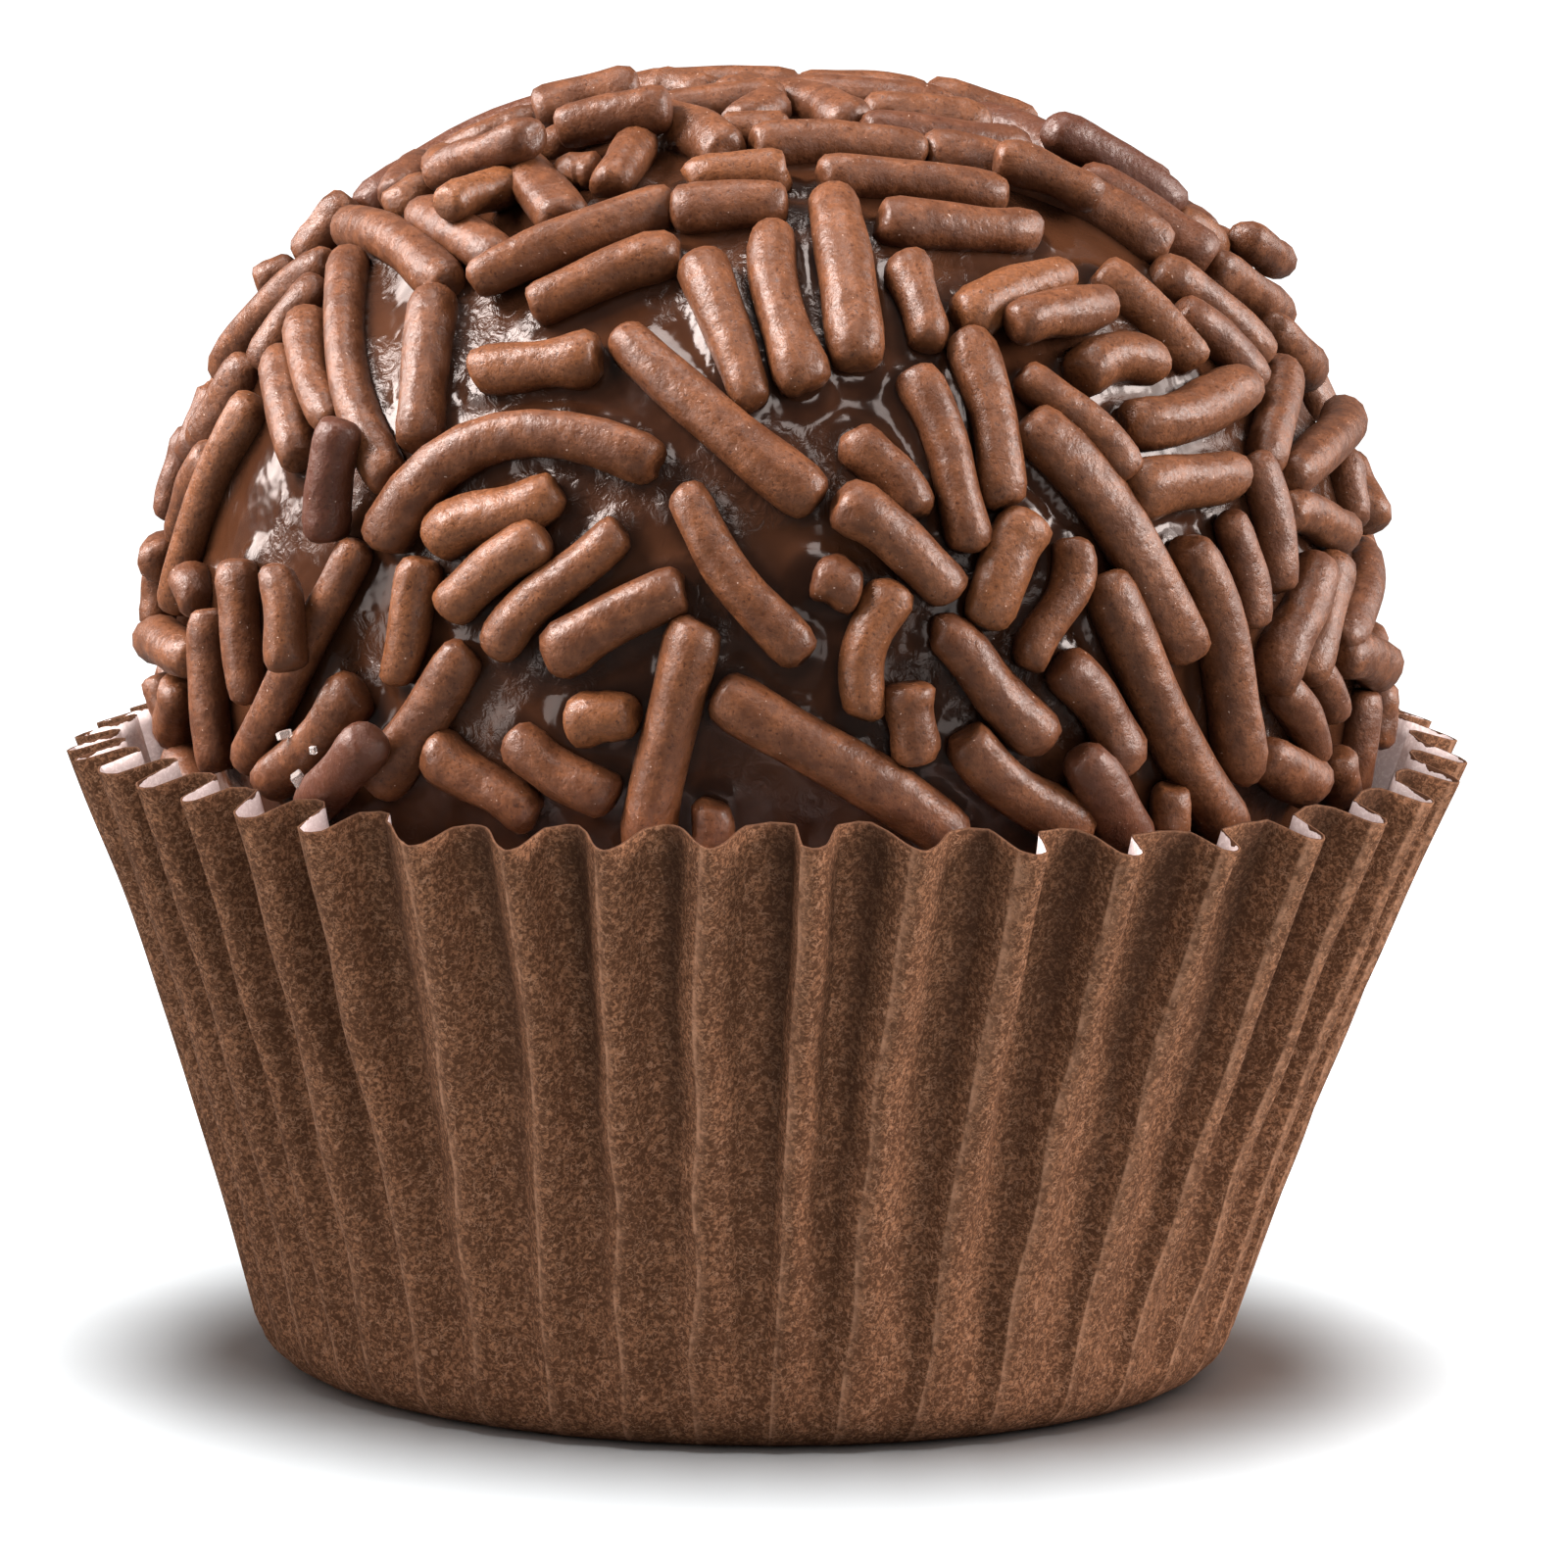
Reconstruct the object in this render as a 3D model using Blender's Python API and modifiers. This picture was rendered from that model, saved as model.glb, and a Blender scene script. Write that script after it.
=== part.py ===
"""A brigadeiro: a ball of chocolate fudge coated with sprinkles, standing in its pleated paper case.

Metres, +Z up, with the origin on the table under the middle of the case's rim. -Y is the front.
Angles round the case and the ball start at the front and run towards +X.
"""

import math
import random

import bmesh
import bpy
import numpy as np

OBJECT_NAME = "brigadeiro"
CLEARANCE = 0.0003            # between the sweet and the paper it sits in

# The case: one round sheet of greaseproof paper, pressed into a pleated cup
FLOOR_RADIUS = 0.01291        # where the wall's line would meet the table
RIM_RADIUS = 0.01820          # to the outer folds
RIM_HEIGHT = 0.01604          # to the outer folds
CORNER_ROUND = 0.0017         # between floor and wall
WALL_BOW = 0.19               # how far the wall hollows in, as a share of its flare
FLOOR_SHIFT = -0.0004         # the floor sits off the rim's middle, along X
RIM_WAVES = ((3, 0.00017, -1.1), (4, 0.00022, 1.0), (6, 0.00009, 0.1))  # waves round it, height, turn
PAPER = 0.00012               # thickness

# Its pleats. Each rises on a flank, stays out along its outer fold, falls back on a slope and stays in.
RIM_PLEAT_DEPTH = 0.0013
FLOOR_PLEAT_DEPTH = 0.00015
INNER_FOLD_LIFT = 0.33        # how much higher an inner fold ends, as a share of the pleat's depth
FRONT_PLEATS = (              # in degrees: where the flank begins and ends, and where the slope begins and ends
    (-72.4, -71.7, -66.9, -66.0), (-63.4, -62.3, -59.4, -58.7), (-55.3, -54.7, -52.9, -52.0),
    (-49.4, -47.7, -45.0, -44.1), (-40.8, -40.2, -37.6, -36.7), (-33.5, -29.8, -27.9, -26.8),
    (-24.1, -21.3, -19.6, -18.6), (-15.3, -13.3, -11.6, -9.8), (-7.2, -5.0, -3.4, -1.5),
    (2.4, 2.8, 4.9, 6.2), (9.6, 11.6, 13.3, 15.8), (19.0, 20.4, 22.8, 23.7),
    (28.3, 29.2, 31.5, 33.0), (38.4, 39.2, 41.1, 43.4), (48.1, 49.0, 51.1, 52.7),
    (57.3, 58.2, 60.4, 61.8), (67.4, 68.3, 70.4, 72.4),
)
FRONT_PLEATS_END = 76.5
BACK_PLEATS = 25
BACK_FOLDS = (0.0, 0.10, 0.38, 0.58)  # the same four places, as shares of a pleat's width
PLEAT_WIDTH_SPREAD = 0.14
PLEAT_DEPTH_SPREAD = 0.10
PLEAT_FADE = 0.8              # exponent of their depth up the wall: under 1 they stay deep far down
PLEAT_WAVERS = ((5, 0.4, 0.006, 1.9), (9, 2.2, 0.006, 0.5), (14, 1.1, 0.006, 3.6))  # round, turn, radians, start
PLEAT_SEED = 12

CORNER_STEPS = 3
WALL_STEPS = 3

# The ball, out to the mean outline of its coat of sprinkles
BALL_RADIUS = 0.0162
BALL_EQUATOR = 0.0187         # height of its widest level
BALL_TOP = 0.0340
BALL_FOOT_SINK = 0.0006       # how much of its round bottom is pressed flat
DOME_FULLNESS = 2.25          # exponent of the dome's outline: 2 is an ellipse, more is squarer
BOWL_FULLNESS = 1.8
COAT_WAVES = ((3, 2, 0.00010, 0.4), (5, 4, 0.00010, 2.1), (9, 7, 0.00010, 1.2))  # round, up, height, turn
BALL_SEGMENTS = 52
BALL_RINGS = 30

PAPER_BROWN = (0.130, 0.058, 0.033, 1.0)
SPRINKLE_BROWN = (0.135, 0.052, 0.030, 1.0)


def clear_scene():
    for old in list(bpy.data.objects):
        bpy.data.objects.remove(old, do_unlink=True)


def part_collection():
    """The collection that holds the finished pieces."""
    collection = bpy.data.collections.new(OBJECT_NAME)
    bpy.context.scene.collection.children.link(collection)
    return collection


def matte_material(name, colour, roughness):
    """A plain Principled material without metal."""
    material = bpy.data.materials.new(name)
    material.use_nodes = True
    shader = material.node_tree.nodes["Principled BSDF"]
    shader.inputs["Base Color"].default_value = colour
    shader.inputs["Roughness"].default_value = roughness
    shader.inputs["Metallic"].default_value = 0.0
    return material


def add_piece(collection, name, mesh, material):
    """An object for one piece, in the part's collection and with its own material."""
    piece = bpy.data.objects.new(name, mesh)
    piece.data.materials.append(material)
    collection.objects.link(piece)
    return piece


def case_profile():
    """Radius, height and pleat depth of the outer folds, from the floor's edge to the rim.

    A quarter-round corner runs into a wall whose radius grows with height and hollows in slightly.
    """
    wall_lean = math.atan2(RIM_RADIUS - FLOOR_RADIUS, RIM_HEIGHT)
    levels = []
    for step in range(CORNER_STEPS + 1):
        share = step / CORNER_STEPS
        turn = share * (math.pi / 2 - wall_lean)
        radius = FLOOR_RADIUS - CORNER_ROUND + CORNER_ROUND * math.sin(turn)
        height = CORNER_ROUND * (1 - math.cos(turn))
        levels.append((radius, height, FLOOR_PLEAT_DEPTH * share))
    foot_radius, foot_height, _ = levels[-1]
    for step in range(1, WALL_STEPS + 1):
        share = step / WALL_STEPS
        bowed = share + WALL_BOW * (share * share - share)
        radius = foot_radius + (RIM_RADIUS - foot_radius) * bowed
        height = foot_height + (RIM_HEIGHT - foot_height) * share
        depth = FLOOR_PLEAT_DEPTH + (RIM_PLEAT_DEPTH - FLOOR_PLEAT_DEPTH) * share ** PLEAT_FADE
        levels.append((radius, height, depth))
    return np.array(levels)


def pleat_lines():
    """Angle, outer-fold share and depth factor of each fold line round the case."""
    draw = random.Random(PLEAT_SEED)
    widths = np.array([1 + draw.uniform(-PLEAT_WIDTH_SPREAD, PLEAT_WIDTH_SPREAD) for _ in range(BACK_PLEATS)])
    widths *= (FRONT_PLEATS[0][0] + 360 - FRONT_PLEATS_END) / widths.sum()
    starts = FRONT_PLEATS_END + np.cumsum(widths) - widths
    back = starts[:, None] + widths[:, None] * np.array(BACK_FOLDS)
    lines = []
    for folds in np.radians(np.vstack([FRONT_PLEATS, back])):
        depth_factor = 1 + draw.uniform(-PLEAT_DEPTH_SPREAD, PLEAT_DEPTH_SPREAD)
        for angle, outer in zip(folds, (0, 1, 1, 0)):
            lines.append((angle, outer, depth_factor))
    return np.array(lines)


def waver(angle, climb):
    """How far the fold lines wander sideways below the rim: slow waves down the wall that change round it."""
    return climb * sum(
        size * np.sin(count * angle + turn) * (np.sin(2 * math.pi * climb + start) - math.sin(start))
        for count, turn, size, start in PLEAT_WAVERS
    )


def rim_lift(angle):
    """How far the rim stands above its mean height: the sum of its slow waves."""
    return sum(height * np.cos(count * angle - turn) for count, height, turn in RIM_WAVES)


def case_points():
    """The case's outer surface as a grid: one row a level, one column a fold line."""
    radius, height, depth = (column[:, None] for column in case_profile().T)
    angle, outer, depth_factor = (column[None, :] for column in pleat_lines().T)
    climb = height / RIM_HEIGHT
    turn = angle + waver(angle, climb)
    fold_in = depth * depth_factor * (1 - outer)
    x = (radius - fold_in) * np.sin(turn)
    y = -(radius - fold_in) * np.cos(turn)
    z = height + INNER_FOLD_LIFT * climb * fold_in + climb ** 2 * rim_lift(turn)
    x = x + FLOOR_SHIFT * (1 - climb)
    points = np.stack([x, y, z], axis=-1)
    points[..., :2] -= (points.max(axis=(0, 1)) + points.min(axis=(0, 1)))[:2] / 2
    return points


def paper_case(collection):
    """The pleated wall is a loft between unlike sections, closed by the flat floor, then given its paper."""
    points = case_points()
    rows, columns, _ = points.shape
    build = bmesh.new()
    grid = [[build.verts.new(point) for point in row] for row in points]
    for lower, upper in zip(grid[:-1], grid[1:]):
        for column in range(columns):
            following = (column + 1) % columns
            build.faces.new((lower[column], lower[following], upper[following], upper[column]))
    build.faces.new(reversed(grid[0]))
    mesh = bpy.data.meshes.new("paper_case")
    build.to_mesh(mesh)
    build.free()
    case = add_piece(collection, "paper_case", mesh, matte_material("case_paper", PAPER_BROWN, 0.85))
    wall = case.modifiers.new("paper", "SOLIDIFY")
    wall.thickness = PAPER
    wall.offset = -1.0
    wall.use_even_offset = True
    return case


def ball_surface(directions):
    """Unit directions carried onto the coat's outline: a squarish dome over a deeper round bowl."""
    x, y, z = directions.T
    angle = np.arctan2(x, -y)
    across = np.hypot(x, y)
    fullness = np.where(z > 0, DOME_FULLNESS, BOWL_FULLNESS)
    reach = across ** (2 / fullness)
    lift = np.sign(z) * np.abs(z) ** (2 / fullness)
    foot = PAPER + CLEARANCE
    bowl_depth = BALL_EQUATOR - foot + BALL_FOOT_SINK
    height = np.where(z > 0, BALL_TOP - BALL_EQUATOR, bowl_depth)
    swell = sum(
        size * np.cos(around * angle - turn) * np.cos(up * np.arcsin(z) + turn) * across
        for around, up, size, turn in COAT_WAVES
    )
    level = np.maximum(BALL_EQUATOR + (height + swell) * lift, foot)
    radius = (BALL_RADIUS + swell) * reach
    return np.stack([radius * np.sin(angle), -radius * np.cos(angle), level], axis=-1)


def coated_ball(collection):
    """The fudge and its sprinkles as one solid, a sphere drawn out to the coat's uneven outline."""
    build = bmesh.new()
    bmesh.ops.create_uvsphere(build, u_segments=BALL_SEGMENTS, v_segments=BALL_RINGS, radius=1.0)
    directions = np.array([vertex.co.normalized() for vertex in build.verts])
    for vertex, place in zip(build.verts, ball_surface(directions)):
        vertex.co = place
    mesh = bpy.data.meshes.new("coated_ball")
    build.to_mesh(mesh)
    build.free()
    mesh.shade_smooth()
    return add_piece(collection, "coated_ball", mesh, matte_material("sprinkled_fudge", SPRINKLE_BROWN, 0.45))


clear_scene()
brigadeiro = part_collection()
paper_case(brigadeiro)
coated_ball(brigadeiro)
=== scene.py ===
"""How the brigadeiro looks: its pleated paper case, the fudge ball, its coat of sprinkles, a little sugar.

Metres, +Z up, the front towards -Y. Angles round the case and the ball start at the front and grow to +X.
"""

import math
import random

import bpy
import numpy as np
from mathutils import Matrix, Vector


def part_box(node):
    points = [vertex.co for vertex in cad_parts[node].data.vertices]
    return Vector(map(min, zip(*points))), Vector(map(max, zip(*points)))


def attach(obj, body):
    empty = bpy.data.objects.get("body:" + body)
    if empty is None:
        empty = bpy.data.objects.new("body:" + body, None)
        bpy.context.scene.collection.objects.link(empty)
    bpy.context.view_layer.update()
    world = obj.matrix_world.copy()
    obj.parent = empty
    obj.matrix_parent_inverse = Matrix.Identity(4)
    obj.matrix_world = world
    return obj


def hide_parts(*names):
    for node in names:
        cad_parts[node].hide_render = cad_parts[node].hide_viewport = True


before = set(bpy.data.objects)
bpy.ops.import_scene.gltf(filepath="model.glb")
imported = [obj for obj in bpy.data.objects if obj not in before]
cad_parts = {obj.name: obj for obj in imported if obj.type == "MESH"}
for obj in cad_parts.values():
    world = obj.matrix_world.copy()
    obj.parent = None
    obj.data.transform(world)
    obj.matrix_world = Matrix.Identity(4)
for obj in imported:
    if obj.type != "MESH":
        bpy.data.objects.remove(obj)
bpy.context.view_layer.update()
MM = 0.001


# -------------------------------------------------------------- the view
# A long lens looks a little down on the sweet from the front, tipped slightly to one side.

EYE_DISTANCE = 0.300
EYE_RISE = math.radians(8.64)
EYE_ROLL = math.radians(0.94)
LOOK_AT = Vector((0.44 * MM, 0, 15.18 * MM))
VIEW_WIDTH = 40.8 * MM        # what the lens takes in, at the distance of the point it looks at
FILM_WIDTH = 36.0             # in the lens's own millimetres

eye_back = Vector((0, -math.cos(EYE_RISE), math.sin(EYE_RISE)))
level_up = Vector((0, math.sin(EYE_RISE), math.cos(EYE_RISE)))
level_right = Vector((1, 0, 0))
eye_up = level_up * math.cos(EYE_ROLL) - level_right * math.sin(EYE_ROLL)
eye_right = level_right * math.cos(EYE_ROLL) + level_up * math.sin(EYE_ROLL)
eye_place = LOOK_AT + eye_back * EYE_DISTANCE

camera = bpy.data.objects.new("camera", bpy.data.cameras.new("camera"))
camera.data.sensor_width = FILM_WIDTH
camera.data.lens = FILM_WIDTH * EYE_DISTANCE / VIEW_WIDTH
eye_turn = Matrix((eye_right, eye_up, eye_back)).transposed().to_4x4()
camera.matrix_world = Matrix.Translation(eye_place) @ eye_turn
bpy.context.scene.collection.objects.link(camera)
bpy.context.scene.camera = camera


# -------------------------------------------------------- the paper case
# A round of greaseproof paper, white, with one side printed brown, pressed between a pleated punch and its
# die into a cup. It is made of its two faces: the printed one outside and the white one that lines it.

case_low, case_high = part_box("paper_case")
RIM_RADIUS = (case_high.x - case_low.x) / 2
RIM_HEIGHT = 16.04 * MM
FLOOR_RADIUS = 12.91 * MM
CORNER_ROUND = 1.7 * MM
WALL_BOW = 0.19               # how far the wall hollows in, as a share of its flare
FLOOR_SHIFT = -0.4 * MM       # the floor sits off the rim's middle
# The rim rises and falls: how many waves round it, their height and turn
RIM_WAVES = ((3, 0.17 * MM, -1.1), (4, 0.22 * MM, 1.0), (6, 0.09 * MM, 0.1))
SKIN = 0.028 * MM             # thickness of each face
SKIN_GAP = 0.002 * MM

RIM_PLEAT_DEPTH = 1.42 * MM
FLOOR_PLEAT_DEPTH = 0.15 * MM
INNER_FOLD_LIFT = 0.33        # how much higher an inner fold ends, as a share of the pleat's depth
# In degrees: where the flank begins and ends, and where the slope begins and ends
FRONT_PLEATS = (
    (-72.4, -71.7, -66.9, -66.0), (-63.4, -62.3, -59.4, -58.7), (-55.3, -54.7, -52.9, -52.0),
    (-49.4, -47.7, -45.0, -44.1), (-40.8, -40.2, -37.6, -36.7), (-33.5, -29.8, -27.9, -26.8),
    (-24.1, -21.3, -19.6, -18.6), (-15.3, -13.3, -11.6, -9.8), (-7.2, -5.0, -3.4, -1.5),
    (2.4, 2.8, 4.9, 6.2), (9.6, 11.6, 13.3, 15.8), (19.0, 20.4, 22.8, 23.7),
    (28.3, 29.2, 31.5, 32.4), (38.4, 39.2, 41.1, 42.2), (48.1, 49.0, 51.1, 52.0),
    (57.3, 58.2, 60.4, 61.3), (67.4, 68.3, 70.4, 71.5),
)
FRONT_PLEATS_END = 76.5
BACK_PLEATS = 25
BACK_FOLDS = (0.0, 0.10, 0.38, 0.58)  # the same four places, as shares of the pleat's width
FOLD_SPREAD = 0.06            # how far the last three may lie from them
FLOOR_FOLDS = (0.18, 0.42, 0.80)      # and where those three end up at the floor, all round
PLEAT_WIDTH_SPREAD = 0.14
PLEAT_DEPTH_SPREAD = 0.10
PLEAT_SEED = 12
FOLD_SEED = 5
PLEAT_FADE = 0.8              # exponent of a pleat's depth up the wall: under 1 it stays deep far down
CREST_ROUND = 0.13            # how much of the pleat's depth its outer fold takes to turn over
VALLEY_ROUND = 0.14           # the same for its inner fold
VALLEY_SKEW = 1.4             # exponent: over 1, the inner fold is deepest past its middle
# How the fold lines waver on their way down: waves round the case, turn, size in radians, start
PLEAT_WAVERS = ((5, 0.4, 0.006, 1.9), (9, 2.2, 0.006, 0.5), (14, 1.1, 0.006, 3.6))

# Small dents, and folds that stray a little: each a sum of random waves
RIPPLES = 9
RIPPLES_ROUND = (4, 40)       # fewest and most crests round the case
RIPPLES_UP = (2, 9)           # and half waves up the wall
DENT_SEED = 31
DENT_DEPTH = 0.040 * MM
DENT_END = 1.15               # share of the height, past the rim, at which the dents would die out
WANDER_SEED = 7
FOLD_WANDER = 0.0016          # in radians
WANDER_FADE = 4               # exponent up the wall: the rim itself stays put

CORNER_ROWS = 7
WALL_ROWS = 36
FLOOR_ROWS = (0.35, 0.7, 0.9)  # shares of the way from the middle of the floor to its corner


def pleat_table():
    """One row a pleat: start angle, width, depth factor, then the places of its folds.

    The places are the shares of the width where the flank, the outer fold and the slope end. Starts, widths
    and depths are drawn as they were for the solid; at the back each fold then lies a little off its share.
    """
    draw = random.Random(PLEAT_SEED)
    spread = PLEAT_WIDTH_SPREAD
    widths = np.array([1 + draw.uniform(-spread, spread) for _ in range(BACK_PLEATS)])
    widths *= (FRONT_PLEATS[0][0] + 360 - FRONT_PLEATS_END) / widths.sum()
    starts = FRONT_PLEATS_END + np.cumsum(widths) - widths
    fold = np.random.default_rng(FOLD_SEED)
    shares = np.array(BACK_FOLDS) + fold.uniform(-FOLD_SPREAD, FOLD_SPREAD, (BACK_PLEATS, 4)) * (0, 1, 1, 1)
    folds = np.radians(np.vstack([FRONT_PLEATS, starts[:, None] + widths[:, None] * shares]))
    depth_factor = [[1 + draw.uniform(-PLEAT_DEPTH_SPREAD, PLEAT_DEPTH_SPREAD)] for _ in folds]
    start = folds[:, :1]
    width = np.diff(start, axis=0, append=start[:1] + math.tau)
    return np.hstack([start, width, depth_factor, (folds[:, 1:] - start) / width])


def smooth_step(share):
    """An S from 0 to 1: three times the square less twice the cube."""
    return share * share * (3 - 2 * share)


def case_rows():
    """Radius, height and pleat depth, level by level, from near the middle of the floor up to the rim.

    A flat floor, a quarter-round corner, then a wall whose radius grows with height and hollows in slightly.
    """
    wall_lean = math.atan2(RIM_RADIUS - FLOOR_RADIUS, RIM_HEIGHT)
    floor = np.array(FLOOR_ROWS)
    share = np.linspace(0, 1, CORNER_ROWS)
    turn = share * (math.pi / 2 - wall_lean)
    corner_radius = FLOOR_RADIUS - CORNER_ROUND + CORNER_ROUND * np.sin(turn)
    corner_height = CORNER_ROUND * (1 - np.cos(turn))
    climb = np.linspace(0, 1, WALL_ROWS + 1)[1:]
    bowed = climb + WALL_BOW * (climb * climb - climb)
    wall_radius = corner_radius[-1] + (RIM_RADIUS - corner_radius[-1]) * bowed
    wall_height = corner_height[-1] + (RIM_HEIGHT - corner_height[-1]) * climb
    wall_depth = FLOOR_PLEAT_DEPTH + (RIM_PLEAT_DEPTH - FLOOR_PLEAT_DEPTH) * climb ** PLEAT_FADE
    radius = np.concatenate([floor * corner_radius[0], corner_radius, wall_radius])
    height = np.concatenate([0 * floor, corner_height, wall_height])
    depth = np.concatenate([0 * floor, FLOOR_PLEAT_DEPTH * share, wall_depth])
    return radius[:, None], height[:, None], depth[:, None]


# A pleat has twenty points, at these shares along its four stretches
FLANK = np.array([0.0, 0.18, 0.36, 0.55, 0.75, 0.92])
CREST = np.array([0.0, 0.16, 0.42, 0.72])
SLOPE = np.array([0.0, 0.16, 0.32, 0.5, 0.68, 0.84])
VALLEY = np.array([0.0, 0.2, 0.5, 0.8])
# How rubbed each point is, most on the outer fold, and how much painted shade it gets
# in the inner fold between two pleats
WEAR = np.array([0, 0, 0, 0, 0, 0.3, 1, 0.5, 0.3, 0.1] + [0] * 10)
GROOVE_PAINTED_SHADE = np.array([1, 0.7, 0.3] + [0] * 14 + [0.1, 0.45, 0.85])


def pleat_columns(climb):
    """Angle and outer-fold share of every column at every level.

    A pleat rises on a steep flank, turns over its outer fold, falls back on a slope and turns out again.
    Flank and slope are half straight and half an S, and the two turns between them are half waves.
    """
    rise = VALLEY_ROUND + (1 - CREST_ROUND - VALLEY_ROUND) * (FLANK + smooth_step(FLANK)) / 2
    fall = 1 - CREST_ROUND - (1 - CREST_ROUND - VALLEY_ROUND) * (SLOPE + smooth_step(SLOPE)) / 2
    outer = np.concatenate([
        rise,
        1 - CREST_ROUND * (1 - np.sin(math.pi * CREST)),
        fall,
        VALLEY_ROUND * (1 - np.sin(math.pi * VALLEY ** VALLEY_SKEW)),
    ])
    table = pleat_table()
    start, width, depth_factor = (np.repeat(column, outer.size) for column in table[:, :3].T)
    down = (1 - climb)[..., None]
    ends = table[None, :, 3:] * (1 - down) + np.array(FLOOR_FOLDS) * down
    edges = np.concatenate([0 * ends[..., :1], ends, 0 * ends[..., :1] + 1], axis=-1)
    stretches = [
        edges[..., part, None] + (edges[..., part + 1, None] - edges[..., part, None]) * along
        for part, along in enumerate((FLANK, CREST, SLOPE, VALLEY))
    ]
    share = np.concatenate(stretches, axis=-1).reshape(len(climb), -1)
    return start + share * width, np.tile(outer, len(table)), depth_factor


def waver(angle, climb):
    """How far the fold lines waver sideways below the rim: slow waves down the wall that change round it."""
    return climb * sum(
        size * np.sin(count * angle + turn) * (np.sin(math.tau * climb + start) - math.sin(start))
        for count, turn, size, start in PLEAT_WAVERS
    )


def ripples(angle, climb, seed):
    """Slow dents and swells: a sum of waves of height 1 that run round the wall and up it."""
    draw = random.Random(seed)
    total = 0 * angle
    for _ in range(RIPPLES):
        around = draw.randint(*RIPPLES_ROUND)
        up = draw.uniform(*RIPPLES_UP)
        turn = draw.uniform(0, math.tau)
        total = total + np.sin(around * angle + up * climb * math.pi + turn)
    return total


def case_surface():
    """The printed side of the paper as a grid: one row a level, one column a line up the wall."""
    radius, height, depth = case_rows()
    climb = height / RIM_HEIGHT
    angle, outer, depth_factor = pleat_columns(climb)
    turn = angle + waver(angle, climb)
    fold_in = depth * depth_factor * (1 - outer)
    out = radius - fold_in + DENT_DEPTH * ripples(turn, climb, DENT_SEED) * climb * (DENT_END - climb)
    turn = turn + FOLD_WANDER * ripples(angle, climb, WANDER_SEED) * (1 - climb ** WANDER_FADE)
    rim_lift = sum(wave * np.cos(count * turn - phase) for count, wave, phase in RIM_WAVES)
    x = out * np.sin(turn) + FLOOR_SHIFT * (1 - climb)
    y = -out * np.cos(turn)
    z = height + INNER_FOLD_LIFT * climb * fold_in + climb ** 2 * rim_lift
    points = np.stack(np.broadcast_arrays(x, y, z), axis=-1)
    points[..., :2] -= (points.max(axis=(0, 1)) + points.min(axis=(0, 1)))[:2] / 2
    return points


def unit(vectors):
    """Vectors divided by their own lengths."""
    return vectors / np.linalg.norm(vectors, axis=-1, keepdims=True)


def grid_normals(points):
    """Unit normals of a grid that runs round: its step round, crossed with its step up."""
    around = np.roll(points, -1, axis=1) - np.roll(points, 1, axis=1)
    return unit(np.cross(around, np.gradient(points, axis=0)))


def closed_tubes(name, rings, ends):
    """One mesh of closed tubes: quads join each ring of points to the next, fans close each end on a point.

    rings is (tubes, rings, sides, 3), ends is (tubes, 2, 3). A tube's points are its rings, then its ends.
    """
    tubes, levels, sides, _ = rings.shape
    points = np.concatenate([rings.reshape(tubes, -1, 3), ends], axis=1).reshape(-1, 3)
    level, side = np.meshgrid(np.arange(levels - 1) * sides, np.arange(sides), indexing="ij")
    after = (side + 1) % sides
    quads = np.stack([level + side, level + after, level + sides + after, level + sides + side], axis=-1)
    side, after, last = side[0], after[0], (levels - 1) * sides
    first_fan = np.stack([0 * side + levels * sides, after, side], axis=-1)
    last_fan = np.stack([last + side, last + after, 0 * side + levels * sides + 1], axis=-1)
    fans = np.concatenate([first_fan, last_fan])
    offset = (np.arange(tubes) * (levels * sides + 2))[:, None, None]
    faces = (quads.reshape(1, -1, 4) + offset).reshape(-1, 4).tolist()
    faces += (fans[None] + offset).reshape(-1, 3).tolist()
    mesh = bpy.data.meshes.new(name)
    mesh.from_pydata(points, [], faces)
    mesh.shade_smooth()
    piece = bpy.data.objects.new(name, mesh)
    bpy.context.scene.collection.objects.link(piece)
    return piece


def set_values(piece, name, values):
    """A number for each vertex, which the piece's material reads."""
    layer = piece.data.attributes.new(name, "FLOAT", "POINT")
    layer.data.foreach_set("value", values.ravel().astype(np.float32))


def paper_skin(name, points, normals, depth):
    """A thin closed skin whose outer side lies this deep under the paper's printed side.

    Its rows run from the middle of the floor up the outer side, then down the inner one and back. Each point
    holds its depth under the rim, how rubbed it is, and how much painted shade its inner folds get, less
    further down, for its material.
    """
    outside = points - normals * depth
    inside = points - normals * (depth + SKIN)
    rings = np.concatenate([outside, inside[::-1]])
    middle = points[0].mean(axis=0)
    ends = np.stack([middle + (0, 0, depth), middle + (0, 0, depth + SKIN)])
    piece = closed_tubes(name, rings[None], ends[None])
    height = np.repeat(points[..., 2].max(axis=0)[None], len(rings), axis=0) - rings[..., 2]
    set_values(piece, "below_rim", np.append(height, (RIM_HEIGHT, RIM_HEIGHT)))
    wear = np.tile(WEAR, points.shape[1] // len(WEAR))
    set_values(piece, "wear", np.append(np.repeat(wear[None], len(rings), axis=0), (0.0, 0.0)))
    # painted shade in the inner folds between pleats, less further down the wall
    groove_painted_shade = np.tile(GROOVE_PAINTED_SHADE, points.shape[1] // len(GROOVE_PAINTED_SHADE)) * rings[..., 2] / RIM_HEIGHT
    set_values(piece, "groove_painted_shade", np.append(groove_painted_shade, (0.0, 0.0)))
    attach(piece, "root")
    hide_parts("paper_case")
    return piece


def add_node(tree, kind, inputs=None, **settings):
    """A node of this kind; each input is given a value, or joined to another node's output."""
    made = tree.nodes.new(kind)
    for setting, value in settings.items():
        setattr(made, setting, value)
    for name, value in (inputs or {}).items():
        if isinstance(value, bpy.types.NodeSocket):
            tree.links.new(value, made.inputs[name])
        else:
            made.inputs[name].default_value = value
    return made


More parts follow.
